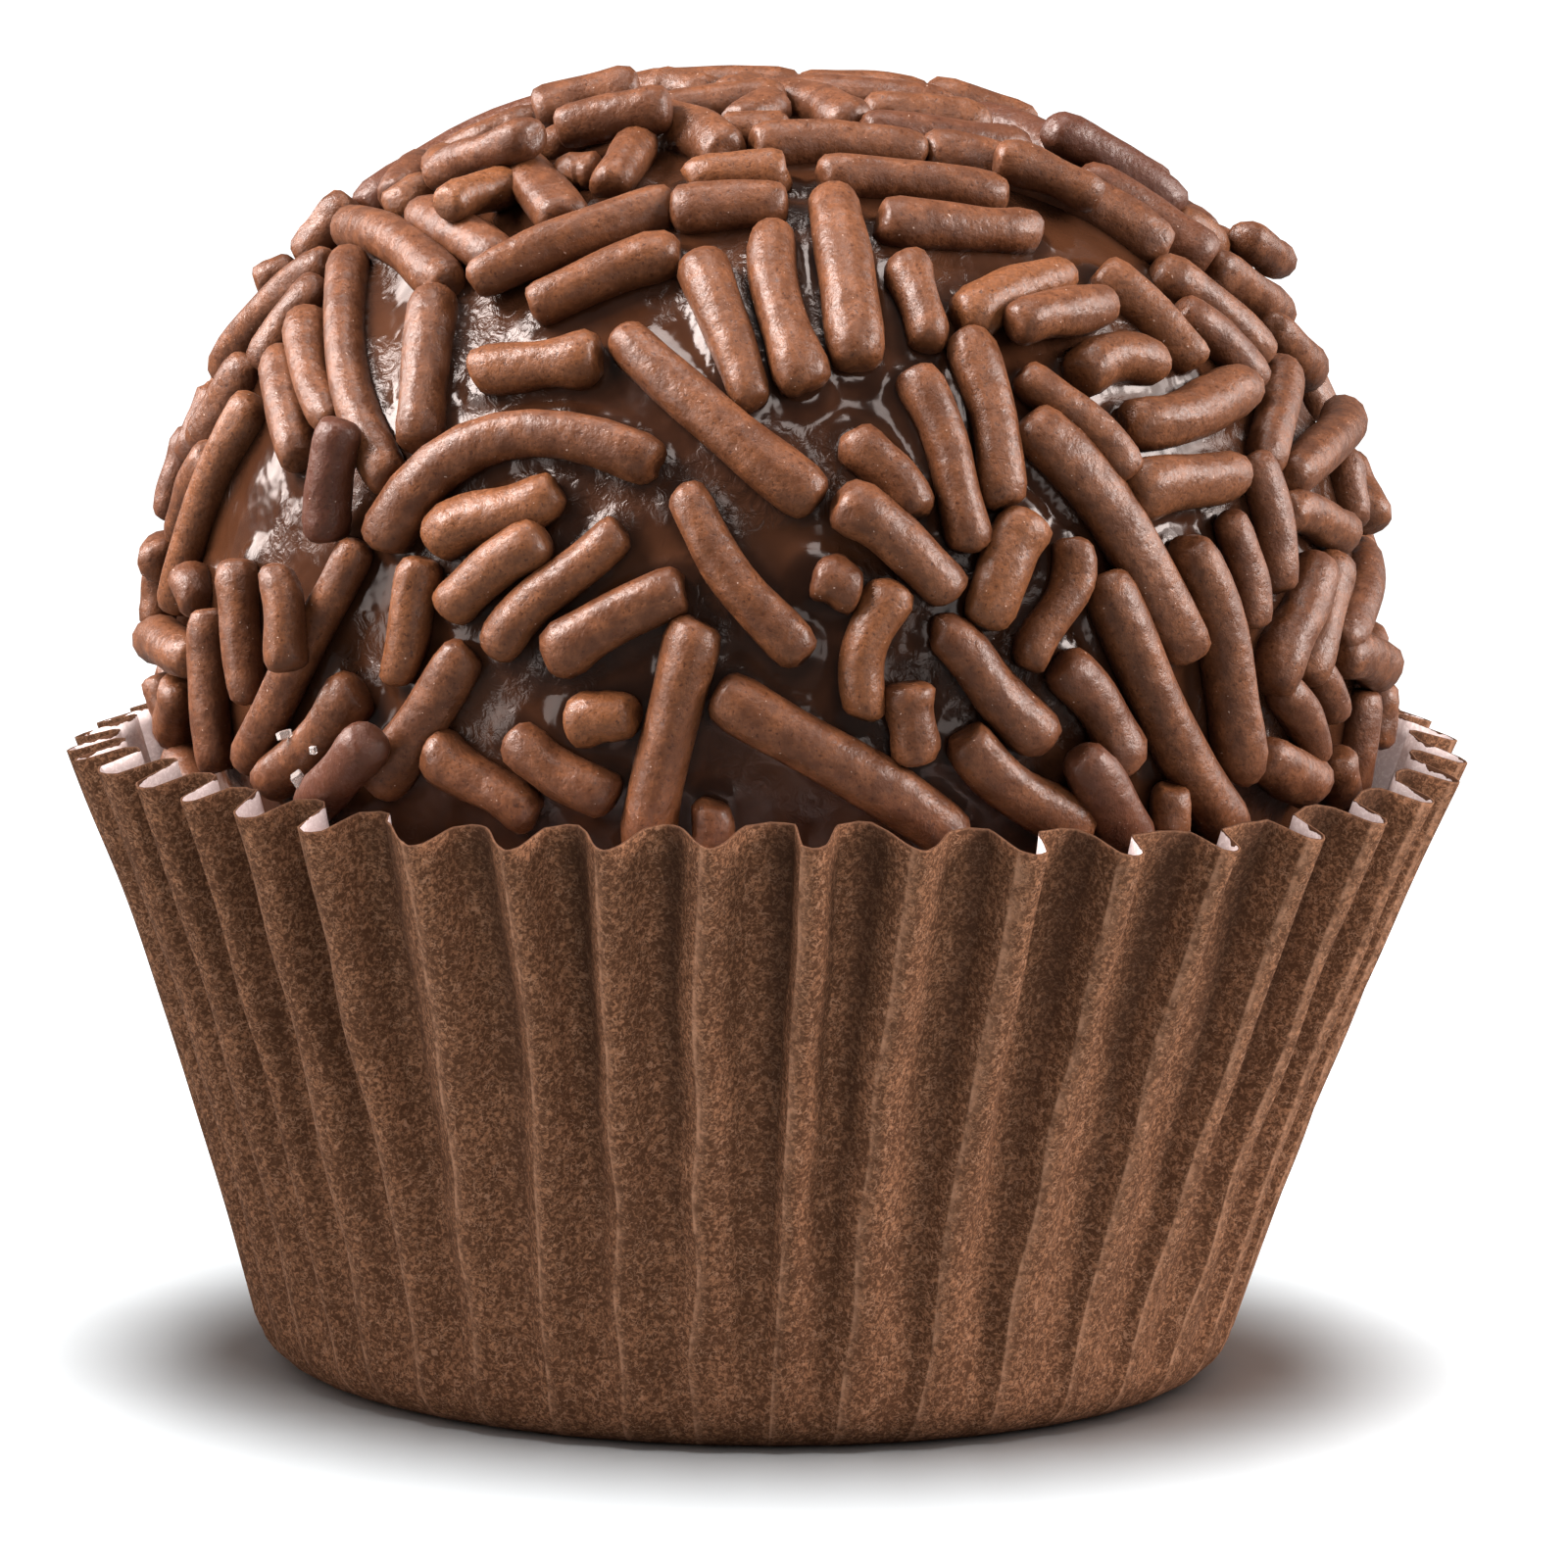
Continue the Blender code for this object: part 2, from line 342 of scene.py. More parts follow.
def mixed(tree, share, first, second):
    """Two colours mixed by a share; a colour is a triple or another node's output."""
    inputs = {0: share}
    for socket, colour in ((6, first), (7, second)):
        inputs[socket] = colour if isinstance(colour, bpy.types.NodeSocket) else (*colour, 1.0)
    return add_node(tree, "ShaderNodeMix", inputs, data_type="RGBA").outputs[2]


def worked(tree, operation, *values):
    """Numbers or outputs put through one step of arithmetic."""
    return add_node(tree, "ShaderNodeMath", dict(enumerate(values)), operation=operation).outputs[0]


def ranged(tree, value, low, high, to_low=0.0, to_high=1.0):
    """A value's range from low to high, stretched smoothly to the new one."""
    inputs = {"Value": value, "From Min": low, "From Max": high, "To Min": to_low, "To Max": to_high}
    return add_node(tree, "ShaderNodeMapRange", inputs, interpolation_type="SMOOTHSTEP").outputs[0]


def noise(tree, size, detail=2.0, roughness=0.5, distortion=0.0):
    """Soft noise from 0 to 1, fixed to the piece. Its lumps have about this size, a number or an output."""
    return add_node(tree, "ShaderNodeTexNoise", {
        "Vector": add_node(tree, "ShaderNodeTexCoord").outputs["Object"],
        "Scale": 1 / size if isinstance(size, float) else worked(tree, "DIVIDE", 1.0, size),
        "Detail": detail, "Roughness": roughness, "Distortion": distortion,
    }).outputs[0]


def attribute(tree, name):
    """A piece's own number at each vertex."""
    return add_node(tree, "ShaderNodeAttribute", attribute_name=name).outputs["Fac"]


def new_material(name, **settings):
    """A Principled material; its constant values sit on the shader's own sockets."""
    material = bpy.data.materials.new(name)
    material.use_nodes = True
    shader = material.node_tree.nodes["Principled BSDF"]
    for socket, value in settings.items():
        shader.inputs[socket.replace("_", " ")].default_value = value
    return material, material.node_tree, shader


def bumped(tree, shader, height, strength, distance):
    """Relief on the shader's surface: a height of 0 to 1, times a distance in metres."""
    inputs = {"Height": height, "Strength": strength, "Distance": distance}
    tree.links.new(add_node(tree, "ShaderNodeBump", inputs).outputs[0], shader.inputs["Normal"])


GRAIN_TO_CURL = 0.62          # size of a grain beside a fibre's curls
FIBRE_BREAKS = 0.28 * MM      # size of the gaps in the fibres
PULP_CLOUDS = 1.3 * MM
CLOUD_SHARE = 0.14            # how much the clouds count beside the grain
FIBRE_HALF_WIDTH = 0.05       # how far from its middle value the noise still counts as fibre


def fibre_group():
    """Paper pulp: a fine uneven ground, and short curled fibres over it, as two masks and a height.

    The fibres are thin lines where a noise crosses its middle value, broken up by a second noise.
    """
    tree = bpy.data.node_groups.new("paper_fibre", "ShaderNodeTree")
    tree.interface.new_socket("Grain Size", in_out="INPUT", socket_type="NodeSocketFloat")
    for mask in ("Tone", "Fibres", "Height"):
        tree.interface.new_socket(mask, in_out="OUTPUT", socket_type="NodeSocketFloat")
    grain = add_node(tree, "NodeGroupInput").outputs[0]
    ground = noise(tree, grain, 3.0, 0.66, 0.8)
    curls = noise(tree, worked(tree, "DIVIDE", grain, GRAIN_TO_CURL), 1.0, 0.5, 1.0)
    broken = noise(tree, FIBRE_BREAKS)
    clouds = worked(tree, "MULTIPLY", noise(tree, PULP_CLOUDS), CLOUD_SHARE)
    off_middle = worked(tree, "ABSOLUTE", worked(tree, "SUBTRACT", curls, 0.5))
    line = ranged(tree, off_middle, FIBRE_HALF_WIDTH, 0.0)
    tone = worked(tree, "ADD", worked(tree, "MULTIPLY", ground, 1 - CLOUD_SHARE), clouds)
    add_node(tree, "NodeGroupOutput", {
        "Tone": ranged(tree, tone, 0.43, 0.70),
        "Fibres": worked(tree, "MULTIPLY", line, ranged(tree, broken, 0.42, 0.58)),
        "Height": ground,
    })
    return tree


paper_fibre = fibre_group()

PRINT_GRAIN = 0.12 * MM
# painted shade for the inner folds between pleats
PRINT_PAINTED_SHADE = (0.034, 0.0140, 0.0066)
PRINT_DARK = (0.078, 0.0330, 0.0150)
PRINT_LIGHT = (0.300, 0.144, 0.0755)
# the pale colour of rubbed ink and fibres, also used for the painted highlight along the cut rim
PRINT_RUBBED_AND_HIGHLIGHT = (0.410, 0.228, 0.140)
PULP_GRAIN = 0.13 * MM
PULP_DARK = (0.66, 0.58, 0.58)
PULP_LIGHT = (0.86, 0.80, 0.80)
INK_BLEED = 0.14 * MM         # the furthest that ink has crept over the rim


def printed_paper():
    """Brown ink over pulp with pale fibres, with painted shade where the pleats shut it in.

    Its outer folds are rubbed, in patches, and a thin band along its cut rim carries a painted highlight.
    """
    material, tree, shader = new_material("printed_paper", Roughness=0.88, Specular_IOR_Level=0.18)
    fibre = add_node(tree, "ShaderNodeGroup", {"Grain Size": PRINT_GRAIN}, node_tree=paper_fibre)
    ink = mixed(tree, fibre.outputs["Tone"], PRINT_DARK, PRINT_LIGHT)
    ink = mixed(tree, worked(tree, "MULTIPLY", fibre.outputs["Fibres"], 0.55), ink, PRINT_RUBBED_AND_HIGHLIGHT)
    # painted shade in the pleats' inner folds
    ink = mixed(tree, ranged(tree, attribute(tree, "groove_painted_shade"), 0.0, 0.9, 0.0, 0.62), ink, PRINT_PAINTED_SHADE)
    patchy = ranged(tree, noise(tree, 0.5 * MM, detail=3.0, roughness=0.65), 0.34, 0.68, 0.10, 0.75)
    worn = worked(tree, "MULTIPLY", ranged(tree, attribute(tree, "wear"), 0.1, 1.0), patchy)
    colour = mixed(tree, worn, ink, PRINT_RUBBED_AND_HIGHLIGHT)
    # painted highlight: a thin pale band along the cut rim
    cut = ranged(tree, attribute(tree, "below_rim"), 0.05 * MM, 0.01 * MM, 0.0, 0.2)
    colour = mixed(tree, cut, colour, PRINT_RUBBED_AND_HIGHLIGHT)
    tree.links.new(colour, shader.inputs["Base Color"])
    bumped(tree, shader, fibre.outputs["Height"], 0.6, 0.03 * MM)
    return material


def white_paper():
    """The unprinted side: white pulp, with a ragged edge of ink that bled over the cut rim."""
    material, tree, shader = new_material("white_paper", Roughness=0.8, Specular_IOR_Level=0.2)
    fibre = add_node(tree, "ShaderNodeGroup", {"Grain Size": PULP_GRAIN}, node_tree=paper_fibre)
    pulp = mixed(tree, fibre.outputs["Tone"], PULP_DARK, PULP_LIGHT)
    ragged = ranged(tree, noise(tree, 0.5 * MM, detail=3.0), 0.40, 0.80, 0.0, INK_BLEED)
    bled = worked(tree, "LESS_THAN", attribute(tree, "below_rim"), ragged)
    colour = mixed(tree, bled, pulp, PRINT_DARK)
    tree.links.new(colour, shader.inputs["Base Color"])
    bumped(tree, shader, fibre.outputs["Height"], 0.25, 0.015 * MM)
    return material


paper = case_surface()
paper_normals = grid_normals(paper)
printed_face = paper_skin("case_printed_face", paper, paper_normals, 0.0)
printed_face.data.materials.append(printed_paper())
white_face = paper_skin("case_white_face", paper, paper_normals, SKIN + SKIN_GAP)
white_face.data.materials.append(white_paper())


# ------------------------------------------------- the fudge ball's form
# Condensed milk, cocoa and butter cooked to a soft fudge and rolled between buttered hands. It stands in the
# case on its own weight, so it is a little squat, with a flat foot.

ball_low, ball_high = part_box("coated_ball")
COAT = 1.15 * MM              # how far the sprinkles stand out from the fudge
TOP_COAT = 1.35 * MM          # on the crown they lie deeper
EQUATOR = 18.7 * MM           # height of its widest level
FUDGE_RADIUS = (ball_high.x - ball_low.x) / 2 - COAT
DOME_RISE = ball_high.z - EQUATOR - TOP_COAT
FOOT_SINK = 0.6 * MM          # how much of its round bottom is pressed flat
BOWL_DEPTH = EQUATOR - ball_low.z + FOOT_SINK
DOME_FULLNESS = 2.25          # exponents of its outline: 2 is an ellipse, more is squarer
BOWL_FULLNESS = 1.8
ball_middle = np.array([0, 0, EQUATOR])


def halves(points):
    """Spread from the axis, rise over the equator, and the dome's or the bowl's own height and fullness."""
    spread = np.hypot(points[..., 0], points[..., 1]) + 1e-9
    rise = points[..., 2] - EQUATOR
    height = np.where(rise > 0, DOME_RISE, BOWL_DEPTH)
    fullness = np.where(rise > 0, DOME_FULLNESS, BOWL_FULLNESS)
    return spread, rise, height, fullness


def gauge(points):
    """How far out points lie, 1 on the fudge: a superellipse sum of spread and rise over their own reach."""
    spread, rise, height, fullness = halves(points)
    total = (spread / FUDGE_RADIUS) ** fullness + np.abs(rise / height) ** fullness
    return total ** (1 / fullness)


def outward(points):
    """Unit normals of the fudge at points on it: the slope of the gauge."""
    spread, rise, height, fullness = halves(points)
    side = (spread / FUDGE_RADIUS) ** (fullness - 1) / FUDGE_RADIUS / spread
    up = np.sign(rise) * np.abs(rise / height) ** (fullness - 1) / height
    return unit(np.stack([points[..., 0] * side, points[..., 1] * side, up], axis=-1))


def on_fudge(points, lift):
    """Points drawn straight in towards the ball's middle until they meet the fudge, then lifted off it."""
    met = ball_middle + (points - ball_middle) / gauge(points)[..., None]
    return met + outward(met) * np.asarray(lift)[..., None]


# ---------------------------------------------- the lie of the sprinkles
# Chocolate sprinkles: cocoa paste pushed through a sieve, broken to length and tumbled until the ends are
# blunt. The ball is rolled in them, so they lie flat and a little sunk, and more cling on top of those.

SUNK_AXIS = 0.44 * MM         # height of a sprinkle's middle line over the fudge
LIE_STEPS = 13                # points along a sprinkle where it is kept clear of the others
LIFT_STEP = 0.2 * MM          # each end may be lifted by steps of this when others lie under it
TILT_COST = 0.3               # what a step of tilt counts beside a step of lift
NEIGHBOUR_REACH = 8 * MM      # further apart than this, two are taken never to meet
PRESS = 0.90                  # how near two may come, as a share of their half widths together
FRONT_LIFT = 7                # most steps an end is lifted
LIFT_STEPS = FRONT_LIFT + 1
LIMB = 13.4                   # millimetres across and up past which the front ones are pressed closer
LIMB_PRESS = 0.50
LIMB_LIFT = 2
CROWN = 9.5                   # and millimetres up past which they count as the crown's
CROWN_PRESS = 0.80
CROWN_LIFT = 6

# The ones on the front, listed one by one: in millimetres across and up from the ball's middle as the eye
# meets it, from end to end, then the bow to the left of the way they run, width and shade (0 plain,
# 1 caramel, -1 dark and purplish).
FRONT = (
    (-10.0, 2.6, -2.9, 4.7, 1.8, 1.35, 0.1), (-8.8, 2.7, -5.4, 4.1, 0.1, 1.3, 0.75),
    (-8.4, 1.0, -5.8, 3.0, 0.1, 1.25, 0.2), (-7.2, -0.1, -3.8, 3.2, 0.1, 1.15, 0.2),
    (-5.75, -0.3, -2.2, 1.7, 0.1, 1.35, 0.3), (-10.9, 10.1, -9.8, 4.3, -0.15, 1.25, 0.0),
    (-8.7, 9.2, -9.1, 5.2, 0.1, 1.3, 0.3), (-11.0, 10.9, -8.3, 9.3, 0.2, 1.2, 0.1),
    (-9.1, 11.2, -7.0, 9.9, 0.15, 1.3, 0.2), (-7.8, 9.5, -2.5, 11.6, -0.2, 1.2, 0.2),
    (-6.2, 8.8, -2.3, 10.3, 0.1, 1.3, 0.3), (-7.7, 7.1, -4.4, 7.4, 0.15, 1.3, 0.2),
    (-12.0, 8.6, -11.3, 5.8, -0.1, 1.15, 0.2), (-12.7, 7.6, -12.2, 4.8, 0.1, 1.15, 0.0),
    (-11.1, 6.0, -11.5, 2.8, -0.1, 1.15, -0.6), (-13.3, 6.5, -15.4, 1.1, 0.1, 1.1, 0.1),
    (-14.9, 5.8, -15.7, 3.4, 0.1, 1.1, 0.0), (-14.4, 5.2, -15.3, 3.0, 0.1, 1.1, -0.1),
    (-13.4, 7.5, -14.7, 5.2, 0.1, 1.2, 0.2), (-11.4, 10.1, -14.3, 7.3, 0.2, 1.1, 0.2),
    (-11.6, 9.6, -13.3, 7.3, 0.1, 1.1, 0.1), (-12.4, 10.0, -13.4, 9.4, 0.0, 1.1, 0.0),
    (-10.9, 11.7, -12.3, 10.2, 0.1, 1.2, 0.0),
    (-9.9, 11.2, -8.7, 12.0, 0.0, 1.2, 0.5), (-8.6, 11.4, -6.7, 12.0, 0.0, 1.1, 0.6),
    (-7.4, 12.8, -5.3, 11.0, 0.2, 1.35, 0.3), (-8.9, 12.1, -6.2, 13.2, 0.1, 1.1, -0.2),
    (-5.6, 12.2, -4.4, 12.4, 0.1, 1.1, 0.5), (-5.9, 12.9, -3.9, 13.7, 0.1, 1.1, 0.0),
    (-10.7, 11.4, -5.4, 14.1, 0.85, 1.3, -0.2),
    (-4.2, 11.9, -3.3, 13.2, 0.0, 1.2, 0.3), (-3.3, 13.7, -1.1, 12.8, 0.2, 1.3, 0.3),
    (-2.6, 11.3, 0.5, 11.5, 0.0, 1.35, 0.5), (-2.2, 12.2, 0.5, 12.3, 0.0, 1.2, 0.5),
    (-3.0, 13.8, 0.4, 14.1, 0.3, 1.25, 0.2), (-1.3, 13.4, 0.5, 13.4, 0.0, 1.1, 0.1),
    (-3.7, 14.4, 0.9, 14.6, 0.0, 1.3, 0.1), (-6.2, 13.9, -3.4, 14.5, 0.0, 1.2, 0.1),
    (-5.6, 13.4, -2.6, 14.0, 0.0, 1.2, 0.0), (0.1, 14.3, 2.4, 13.5, 0.1, 1.3, -0.1),
    (0.7, 14.5, 4.2, 14.3, 0.1, 1.2, 0.2), (2.4, 13.9, 5.7, 13.4, 0.0, 1.3, 0.2),
    (4.0, 14.3, 7.0, 13.6, 0.0, 1.3, 0.2), (-0.5, 13.0, 4.1, 12.8, 0.2, 1.2, 0.4),
    (4.0, 12.9, 10.3, 10.2, 0.3, 1.3, 0.1), (1.3, 12.2, 6.2, 11.6, 0.2, 1.2, 0.1),
    (2.8, 11.0, 7.0, 10.8, -0.1, 1.3, -0.1), (5.2, 13.8, 8.0, 12.5, 0.0, 1.2, -0.6),
    (8.0, 12.2, 11.4, 9.9, 0.1, 1.3, -1.0), (8.1, 12.7, 10.3, 12.0, 0.1, 1.2, -0.6),
    (5.9, 12.7, 8.7, 11.6, 0.1, 1.1, 0.3), (7.4, 13.4, 10.6, 11.2, 0.4, 1.35, -1.0),
    (11.3, 10.7, 12.7, 10.0, 0.0, 1.2, 0.0), (12.4, 10.6, 13.4, 10.0, 0.0, 1.1, 0.0),
    (11.5, 9.8, 13.2, 8.5, 0.0, 1.2, 0.0), (10.0, 9.9, 12.9, 7.5, 0.1, 1.15, 0.0),
    (10.6, 8.9, 12.7, 6.8, 0.1, 1.15, 0.0), (8.5, 9.8, 11.1, 7.3, 0.1, 1.2, 0.2),
    (4.8, 8.6, 7.6, 9.9, -0.2, 1.25, 0.9), (6.4, 8.3, 8.9, 8.9, 0.1, 1.25, 0.2),
    (7.9, 7.1, 10.2, 7.4, 0.25, 1.35, 0.2), (9.2, 5.9, 12.4, 6.9, -0.3, 1.4, 0.2),
    (9.2, 3.9, 12.2, 4.5, 0.15, 1.4, 0.2), (6.5, 7.2, 9.4, 4.5, 0.1, 1.1, 0.1),
    (6.6, 6.0, 11.0, -0.2, 0.1, 1.35, 0.1), (5.1, 8.2, 6.1, 3.7, 0.1, 1.2, 0.2),
    (3.7, 7.3, 5.3, 2.6, 0.1, 1.2, 0.2), (2.1, 5.6, 3.9, 3.5, 0.1, 1.25, -0.2),
    (1.7, 3.9, 4.8, 1.4, 0.2, 1.3, 0.2), (1.1, 1.9, 2.4, 1.6, 0.0, 1.3, 0.1),
    (3.1, 1.8, 2.3, -1.8, -0.1, 1.2, 0.1), (3.7, -0.8, 3.7, -3.0, 0.0, 1.25, 0.3),
    (4.2, 0.5, 7.0, -2.6, 0.3, 1.25, 0.0), (6.8, 3.5, 5.5, 0.6, -0.1, 1.35, 0.2),
    (7.9, 2.9, 6.7, -0.5, 0.2, 1.15, 0.2), (8.6, 2.0, 12.0, -4.9, -0.5, 1.4, -0.1),
    (7.6, -0.2, 9.3, -3.1, 0.1, 1.25, -0.2), (10.7, 2.8, 12.2, -3.4, 0.3, 1.35, 0.1),
    (11.9, 3.6, 12.6, 0.6, 0.1, 1.0, 0.1), (12.5, 5.1, 13.3, 1.5, 0.1, 1.1, 0.1),
    (13.3, 7.3, 12.8, 4.8, 0.0, 1.15, 0.1), (15.3, 6.3, 13.4, 4.4, 0.0, 1.2, 0.0),
    (13.3, 3.6, 14.9, 3.1, 0.0, 1.2, 0.0), (14.9, 5.0, 15.7, 3.2, 0.0, 1.1, -0.2),
    (14.2, 2.4, 13.0, -1.1, -0.1, 1.35, 0.0), (14.7, 2.4, 13.9, -0.8, 0.0, 1.1, 0.0),
    (15.5, 2.6, 14.8, 0.2, 0.0, 1.1, -0.1), (15.0, 1.3, 16.3, 1.3, 0.0, 1.25, 0.1),
    (14.8, -0.1, 15.9, -0.4, 0.0, 1.25, 0.1), (13.2, -0.9, 14.2, -2.8, 0.1, 1.1, 0.1),
    (14.2, -0.4, 14.7, -1.7, 0.0, 1.0, 0.0), (12.7, -2.8, 14.1, -3.5, 0.0, 1.35, 0.1),
    (15.4, -1.0, 14.9, -4.2, 0.0, 1.1, 0.0), (16.2, -0.8, 15.8, -2.6, 0.0, 1.1, 0.0),
    (4.9, -2.3, 8.0, -4.9, 0.0, 1.35, 0.3), (8.0, -2.7, 9.4, -5.3, 0.1, 1.4, -0.9),
    (10.4, -3.5, 10.4, -5.0, 0.0, 1.15, 0.4), (-1.4, -1.0, 5.0, -5.0, 0.1, 1.35, 0.0),
    (-1.8, 0.8, -3.2, -5.3, -0.1, 1.4, 0.1), (-1.5, -3.9, -1.5, -5.6, 0.0, 1.1, -0.2),
    (-2.4, 4.1, 0.8, -0.35, 0.0, 1.25, 0.1), (-3.9, 8.2, 1.3, 3.8, -0.2, 1.3, 0.1),
    (-1.8, 10.1, -0.4, 6.3, 0.0, 1.2, 0.4), (0.1, 10.9, 1.0, 6.7, -0.3, 1.3, 0.1),
    (1.6, 11.8, 2.3, 7.3, 0.0, 1.4, 0.2), (3.5, 10.1, 4.1, 7.8, 0.1, 1.2, 0.2),
    (-5.2, -1.9, -3.4, -1.6, 0.0, 1.35, 0.6), (-6.8, -2.3, -4.0, -4.0, 0.0, 1.3, 0.0),
    (-8.8, -2.5, -6.1, -4.5, 0.1, 1.25, -0.1), (-7.8, 0.1, -10.2, -3.6, 0.1, 1.25, 0.2),
    (-8.9, 2.4, -9.7, -0.9, 0.0, 1.1, 0.3), (-10.7, 2.9, -13.6, -2.8, 0.55, 1.1, 0.1),
    (-10.6, -1.0, -13.0, -3.6, 0.1, 1.2, 0.0), (-12.8, 2.3, -12.4, -0.5, 0.0, 1.1, 0.1),
    (-13.8, 2.4, -13.5, -1.4, 0.0, 1.1, 0.1), (-14.5, 1.1, -14.3, -3.2, 0.0, 1.05, 0.0),
    (-16.1, 0.3, -14.9, -0.1, 0.0, 1.2, 0.1), (-15.8, 2.8, -16.2, 0.6, 0.0, 1.0, 0.0),
    (-15.9, -0.6, -15.4, -2.2, 0.0, 1.1, 0.1), (-16.2, -0.9, -16.0, -2.8, 0.0, 1.1, 0.1),
    (-16.7, 2.9, -15.8, 2.2, 0.0, 1.2, -0.2), (-10.3, -2.3, -11.9, -4.2, 0.0, 1.15, -0.4),
)


OUTSIDE_SHARE = 0.92          # of the way from the eye to the ball's middle: still outside the ball
HALVINGS = 24


def beside_middle(across, up):
    """Places this far across and up from the ball's middle, square to the look."""
    return ball_middle + across[..., None] * np.array(eye_right) + up[..., None] * np.array(eye_up)


def under_the_eye(across, up, lift):
    """The spots on the fudge under the places that the eye meets, this far over it, across and up.

    The way from the eye to a place beside the ball's middle is halved again and again, between a share of it
    that is outside the ball and one that is inside.
    """
    eye, place = np.array(eye_place), beside_middle(across, up)
    inner = np.ones(across.shape)
    outer = inner * OUTSIDE_SHARE
    for _ in range(HALVINGS):
        half = (inner + outer) / 2
        outside = gauge(eye + (place - eye) * half[..., None]) > 1 + lift / FUDGE_RADIUS
        outer = np.where(outside, half, outer)
        inner = np.where(outside, inner, half)
    return on_fudge(eye + (place - eye) * inner[..., None], 0 * inner)


def steps_out(across, up):
    """How many steps a sprinkle must be lifted for the eye to meet it this far across and up."""
    over = (gauge(beside_middle(across, up)) - 1) * FUDGE_RADIUS
    return np.floor((over - SUNK_AXIS) / LIFT_STEP).astype(int)


def middle_lines(ends, bow, lift, share):
    """Points along the middle of each sprinkle, at shares of its length.

    The chord between its ends, bowed sideways as a parabola, laid on the fudge, and lifted at either end.
    """
    chord = ends[:, 1] - ends[:, 0]
    side = unit(np.cross(outward(on_fudge(ends.mean(axis=1), 0 * bow)), chord))
    bulge = 4 * share * (1 - share) * bow[:, None]
    points = ends[:, :1] + share[..., None] * chord[:, None] + bulge[..., None] * side[:, None]
    return on_fudge(points, SUNK_AXIS + lift[:, :1] * (1 - share) + lift[:, 1:] * share)


def settled(ends, bow, width, placed, least, most, press):
    """The lowest lift of the two ends at which a sprinkle clears those already placed, as a row, or None.

    ends holds its two ends for each lift; least and most are in steps.
    """
    steps = [(head, tail) for head in range(least[0], most + 1) for tail in range(least[1], most + 1)]
    steps = np.array(sorted(steps, key=lambda pair: sum(pair) + TILT_COST * abs(pair[0] - pair[1])))
    pairs = np.stack([ends[steps[:, 0], 0], ends[steps[:, 1], 1]], axis=1)
    inset = 0.5 * width / np.linalg.norm(pairs[:, 1] - pairs[:, 0], axis=1)[:, None]
    share = inset + (1 - 2 * inset) * np.linspace(0, 1, LIE_STEPS)
    lines = middle_lines(pairs, np.full(len(pairs), bow), steps * LIFT_STEP, share)
    middle = lines[0, LIE_STEPS // 2]
    near = placed[np.linalg.norm(placed[:, :3] - middle, axis=1) < NEIGHBOUR_REACH]
    apart = np.linalg.norm(lines[:, :, None] - near[None, None, :, :3], axis=-1)
    clear = (apart > press * (width + near[:, 3]) / 2).all(axis=(1, 2))
    if not clear.any():
        return None, placed
    first = int(np.argmax(clear))
    line = np.column_stack([lines[first], np.full(LIE_STEPS, width)])
    return (*pairs[first].ravel(), bow, width, *steps[first] * LIFT_STEP), np.vstack([placed, line])


def front_sprinkles():
    """The front's listed ones, a row each of ends, bow, width, lifts and shade, and where they lie."""
    front = np.array(FRONT)
    across, up = front[:, [0, 2]] * MM, front[:, [1, 3]] * MM
    heights = SUNK_AXIS + np.arange(LIFT_STEPS) * LIFT_STEP
    ends = np.stack([under_the_eye(across, up, height) for height in heights], axis=1)
    limb = np.hypot(front[:, 0] + front[:, 2], front[:, 1] + front[:, 3]) / 2 > LIMB
    crown = front[:, 1] + front[:, 3] > 2 * CROWN
    most = np.where(crown, CROWN_LIFT, np.where(limb, LIMB_LIFT, FRONT_LIFT))
    press = np.where(crown, CROWN_PRESS, np.where(limb, LIMB_PRESS, PRESS))
    least = np.clip(steps_out(across, up), 0, most[:, None])
    placed = np.empty((0, 4))
    rows = []
    for spots, low, high, near, (bow, width, shade) in zip(ends, least, most, press, front[:, 4:]):
        row, placed = settled(spots, bow * MM, width * MM, placed, low, high, near)
        if row:
            rows.append((*row, shade))
    return rows, placed


# Length in millimetres, how many are tried, and the most steps an end is lifted
OTHER_LENGTHS = ((5.2, 260, 0), (4.2, 420, 0), (3.2, 700, 0), (2.4, 700, 0), (1.7, 700, 1), (3.6, 700, 1))
OTHER_LENGTH_SPREAD = (0.8, 1.25)
OTHER_WIDTHS = (1.12, 1.36)   # in millimetres
OTHER_BOW = 0.045             # the usual bow, as a share of the length
OTHER_SHADES = (0.1, 0.3)     # mean and spread
OTHER_SEED = 8
LOWEST = -0.72                # sine of the angle under the equator, out of sight in the case
FRONT_HALF_WIDTH = 1.25       # the listed front ones cover this much to either side, in radians,
FRONT_FOOT = -0.45            # from this angle over the equator
FRONT_TOP = 1.05              # up to this one
PILED_FROM = 0.05             # from this angle up, the others may lie on each other
CAST_FROM = 16 * MM           # their places are drawn in to the fudge from this far out
UPRIGHT = 0.99                # past this, a normal counts as straight up


